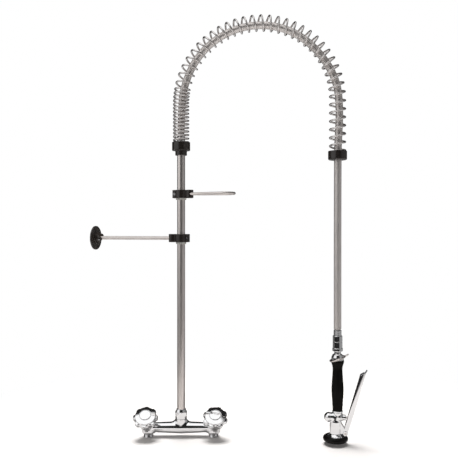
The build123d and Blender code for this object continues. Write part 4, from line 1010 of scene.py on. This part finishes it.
studio = {
    "floor": 1.25, "walls": 6.0, "centre": (0.2, 0.0, 0.55), "air": 0.22, "lift": 0.02,
    # The mirror colours are painted reflections of the floor, seen only by mirrors: grey in front, dark behind
    "paper": (0.95, 0.92, 0.90), "fade": (0.62, 0.95), "mirrorFront": (0.76, 0.735, 0.72),
    "mirrorBack": (0.12, 0.115, 0.11), "mirrorTurn": (-0.05, 0.09), "overhead": (-0.159, -0.21, 0.965),
    "overheadEdge": (0.81, 0.86), "dark": 0.02, "overheadLevel": 1.15, "leftLevel": 0.93, "rightLevel": 0.28,
    "behindLevel": 0.13, "underLevel": 0.8,
}


def floorPaint():
    # To the camera white apart from the shadow. Mirrors see it as far as its inner part reaches, in a painted
    # reflection colour: grey in front and dark behind
    material, start, place = blank("studioFloor")
    rays = start.node("LightPath").link.node
    seen, glossy = (Socket(start.tree, rays.outputs[f"Is {kind} Ray"]) for kind in ("Camera", "Glossy"))
    away = start.node("VectorMath", {"operation": "LENGTH"}, {0: place}, output=1)
    depth = start.node("SeparateXYZ", {}, {"Vector": place}).sibling(1)
    paintedReflection = depth.between(*studio["mirrorTurn"]).mixed(studio["mirrorFront"], studio["mirrorBack"])
    paint = start.node("BsdfDiffuse", {}, {"Color": glossy.mixed(studio["paper"], paintedReflection)})
    lift = start.node("Emission", {}, {"Color": (1, 1, 1, 1), "Strength": studio["lift"]})
    lit = start.node("AddShader", {}, {0: paint, 1: lift})
    white = start.node("Emission", {}, {"Color": (1, 1, 1, 1), "Strength": 1.0})
    beyond = start.node("MixShader", {}, {0: glossy, 1: white, 2: start.node("BsdfTransparent")})
    start.node("OutputMaterial", {}, {
        "Surface": start.node("MixShader", {}, {0: away.between(*studio["fade"]), 1: lit, 2: beyond})})
    return material


def studioPaint():
    # A glowing sphere, no lamp, that only mirrors see, so it paints their reflections: a white ceiling patch, a panel
    # at the left and a dim one at the right, light low down behind, else dark
    material, start, place = blank("studioWalls")
    way = start.node("VectorMath", {"operation": "NORMALIZE"}, {0: place})
    x = start.node("SeparateXYZ", {}, {"Vector": way})
    y, z = x.sibling(1), x.sibling(2)
    overhead = start.node("VectorMath", {"operation": "DOT_PRODUCT"}, {0: way, 1: studio["overhead"]}, output=1)
    ceiling = overhead.between(*studio["overheadEdge"])
    azimuth = x.maths("ARCTAN2", 0 - y)
    left = azimuth.between(-1.75, -1.55) * (1 - azimuth.between(-0.62, -0.48)) * z.between(-0.09, 0.03)
    left = left * (1 - z.between(0.77, 0.86))
    right = azimuth.between(0.55, 0.75) * (1 - azimuth.between(1.8, 2.0)) * z.between(-0.4, -0.28)
    right = right * (1 - z.between(0.6, 0.7))
    behind = y.between(-0.1, 0.15) * (1 - z.between(0.02, 0.09))
    under = 1 - z.between(-0.5, -0.36)
    wall = studio["dark"] + studio["leftLevel"] * left + studio["rightLevel"] * right
    wall = wall + studio["behindLevel"] * behind + studio["underLevel"] * under
    level = wall * (1 - ceiling) + studio["overheadLevel"] * ceiling
    glow = start.node("Emission", {}, {"Color": (1, 1, 1, 1), "Strength": level})
    start.node("OutputMaterial", {}, {"Surface": glow})
    return material


def stagePiece(name, grid, finish, place):
    mesh = bpy.data.meshes.new(name)
    mesh.from_pydata(grid.reshape(-1, 3).tolist(), [], neighbours(*grid.shape[:2])[2].tolist())
    mesh.materials.append(finish)
    made = bpy.data.objects.new(name, mesh)
    made.location = place
    bpy.context.scene.collection.objects.link(made)
    return made


discLine = np.array([(0.0, 0), (0.4, 0), (0.8, 0), (studio["floor"], 0)])
stagePiece("floor", turned(discLine), floorPaint(), (0.2, 0.0, -0.0008))
ballAngle = np.linspace(-math.pi / 2, math.pi / 2, 33)[:, None]
ball = turned(studio["walls"] * np.hstack([np.cos(ballAngle), np.sin(ballAngle)]))
walls = stagePiece("studioWalls", ball, studioPaint(), studio["centre"])
for ray in ("visible_camera", "visible_diffuse", "visible_shadow", "visible_transmission", "visible_volume_scatter"):
    setattr(walls, ray, False)

world = bpy.data.worlds.new("studioAir")
bpy.context.scene.world = world
world.use_nodes = True
world.node_tree.nodes.clear()
air = Socket(world.node_tree)
rays = air.node("LightPath").link.node
seen = sum(Socket(air.tree, rays.outputs[f"Is {kind} Ray"]) for kind in ("Camera", "Glossy", "Transmission"))
level = studio["air"] + (1 - studio["air"]) * seen.maths("MINIMUM", 1.0)
air.node("OutputWorld", {}, {"Surface": air.node("Background", {}, {"Color": (1, 1, 1, 1), "Strength": level})})

topLamp = {"turn": (9, -3), "angle": 30, "power": 3.3}
light = bpy.data.lights.new("topLamp", "SUN")
light.angle, light.energy = math.radians(topLamp["angle"]), topLamp["power"]
holder = bpy.data.objects.new("topLamp", light)
holder.visible_glossy = False
holder.rotation_euler = (math.radians(-topLamp["turn"][0]), math.radians(topLamp["turn"][1]), 0)
holder.location = (0, 0, 2)
bpy.context.scene.collection.objects.link(holder)
print("stage set")

bpy.context.scene.view_settings.view_transform = "Standard"
bpy.context.view_layer.update()
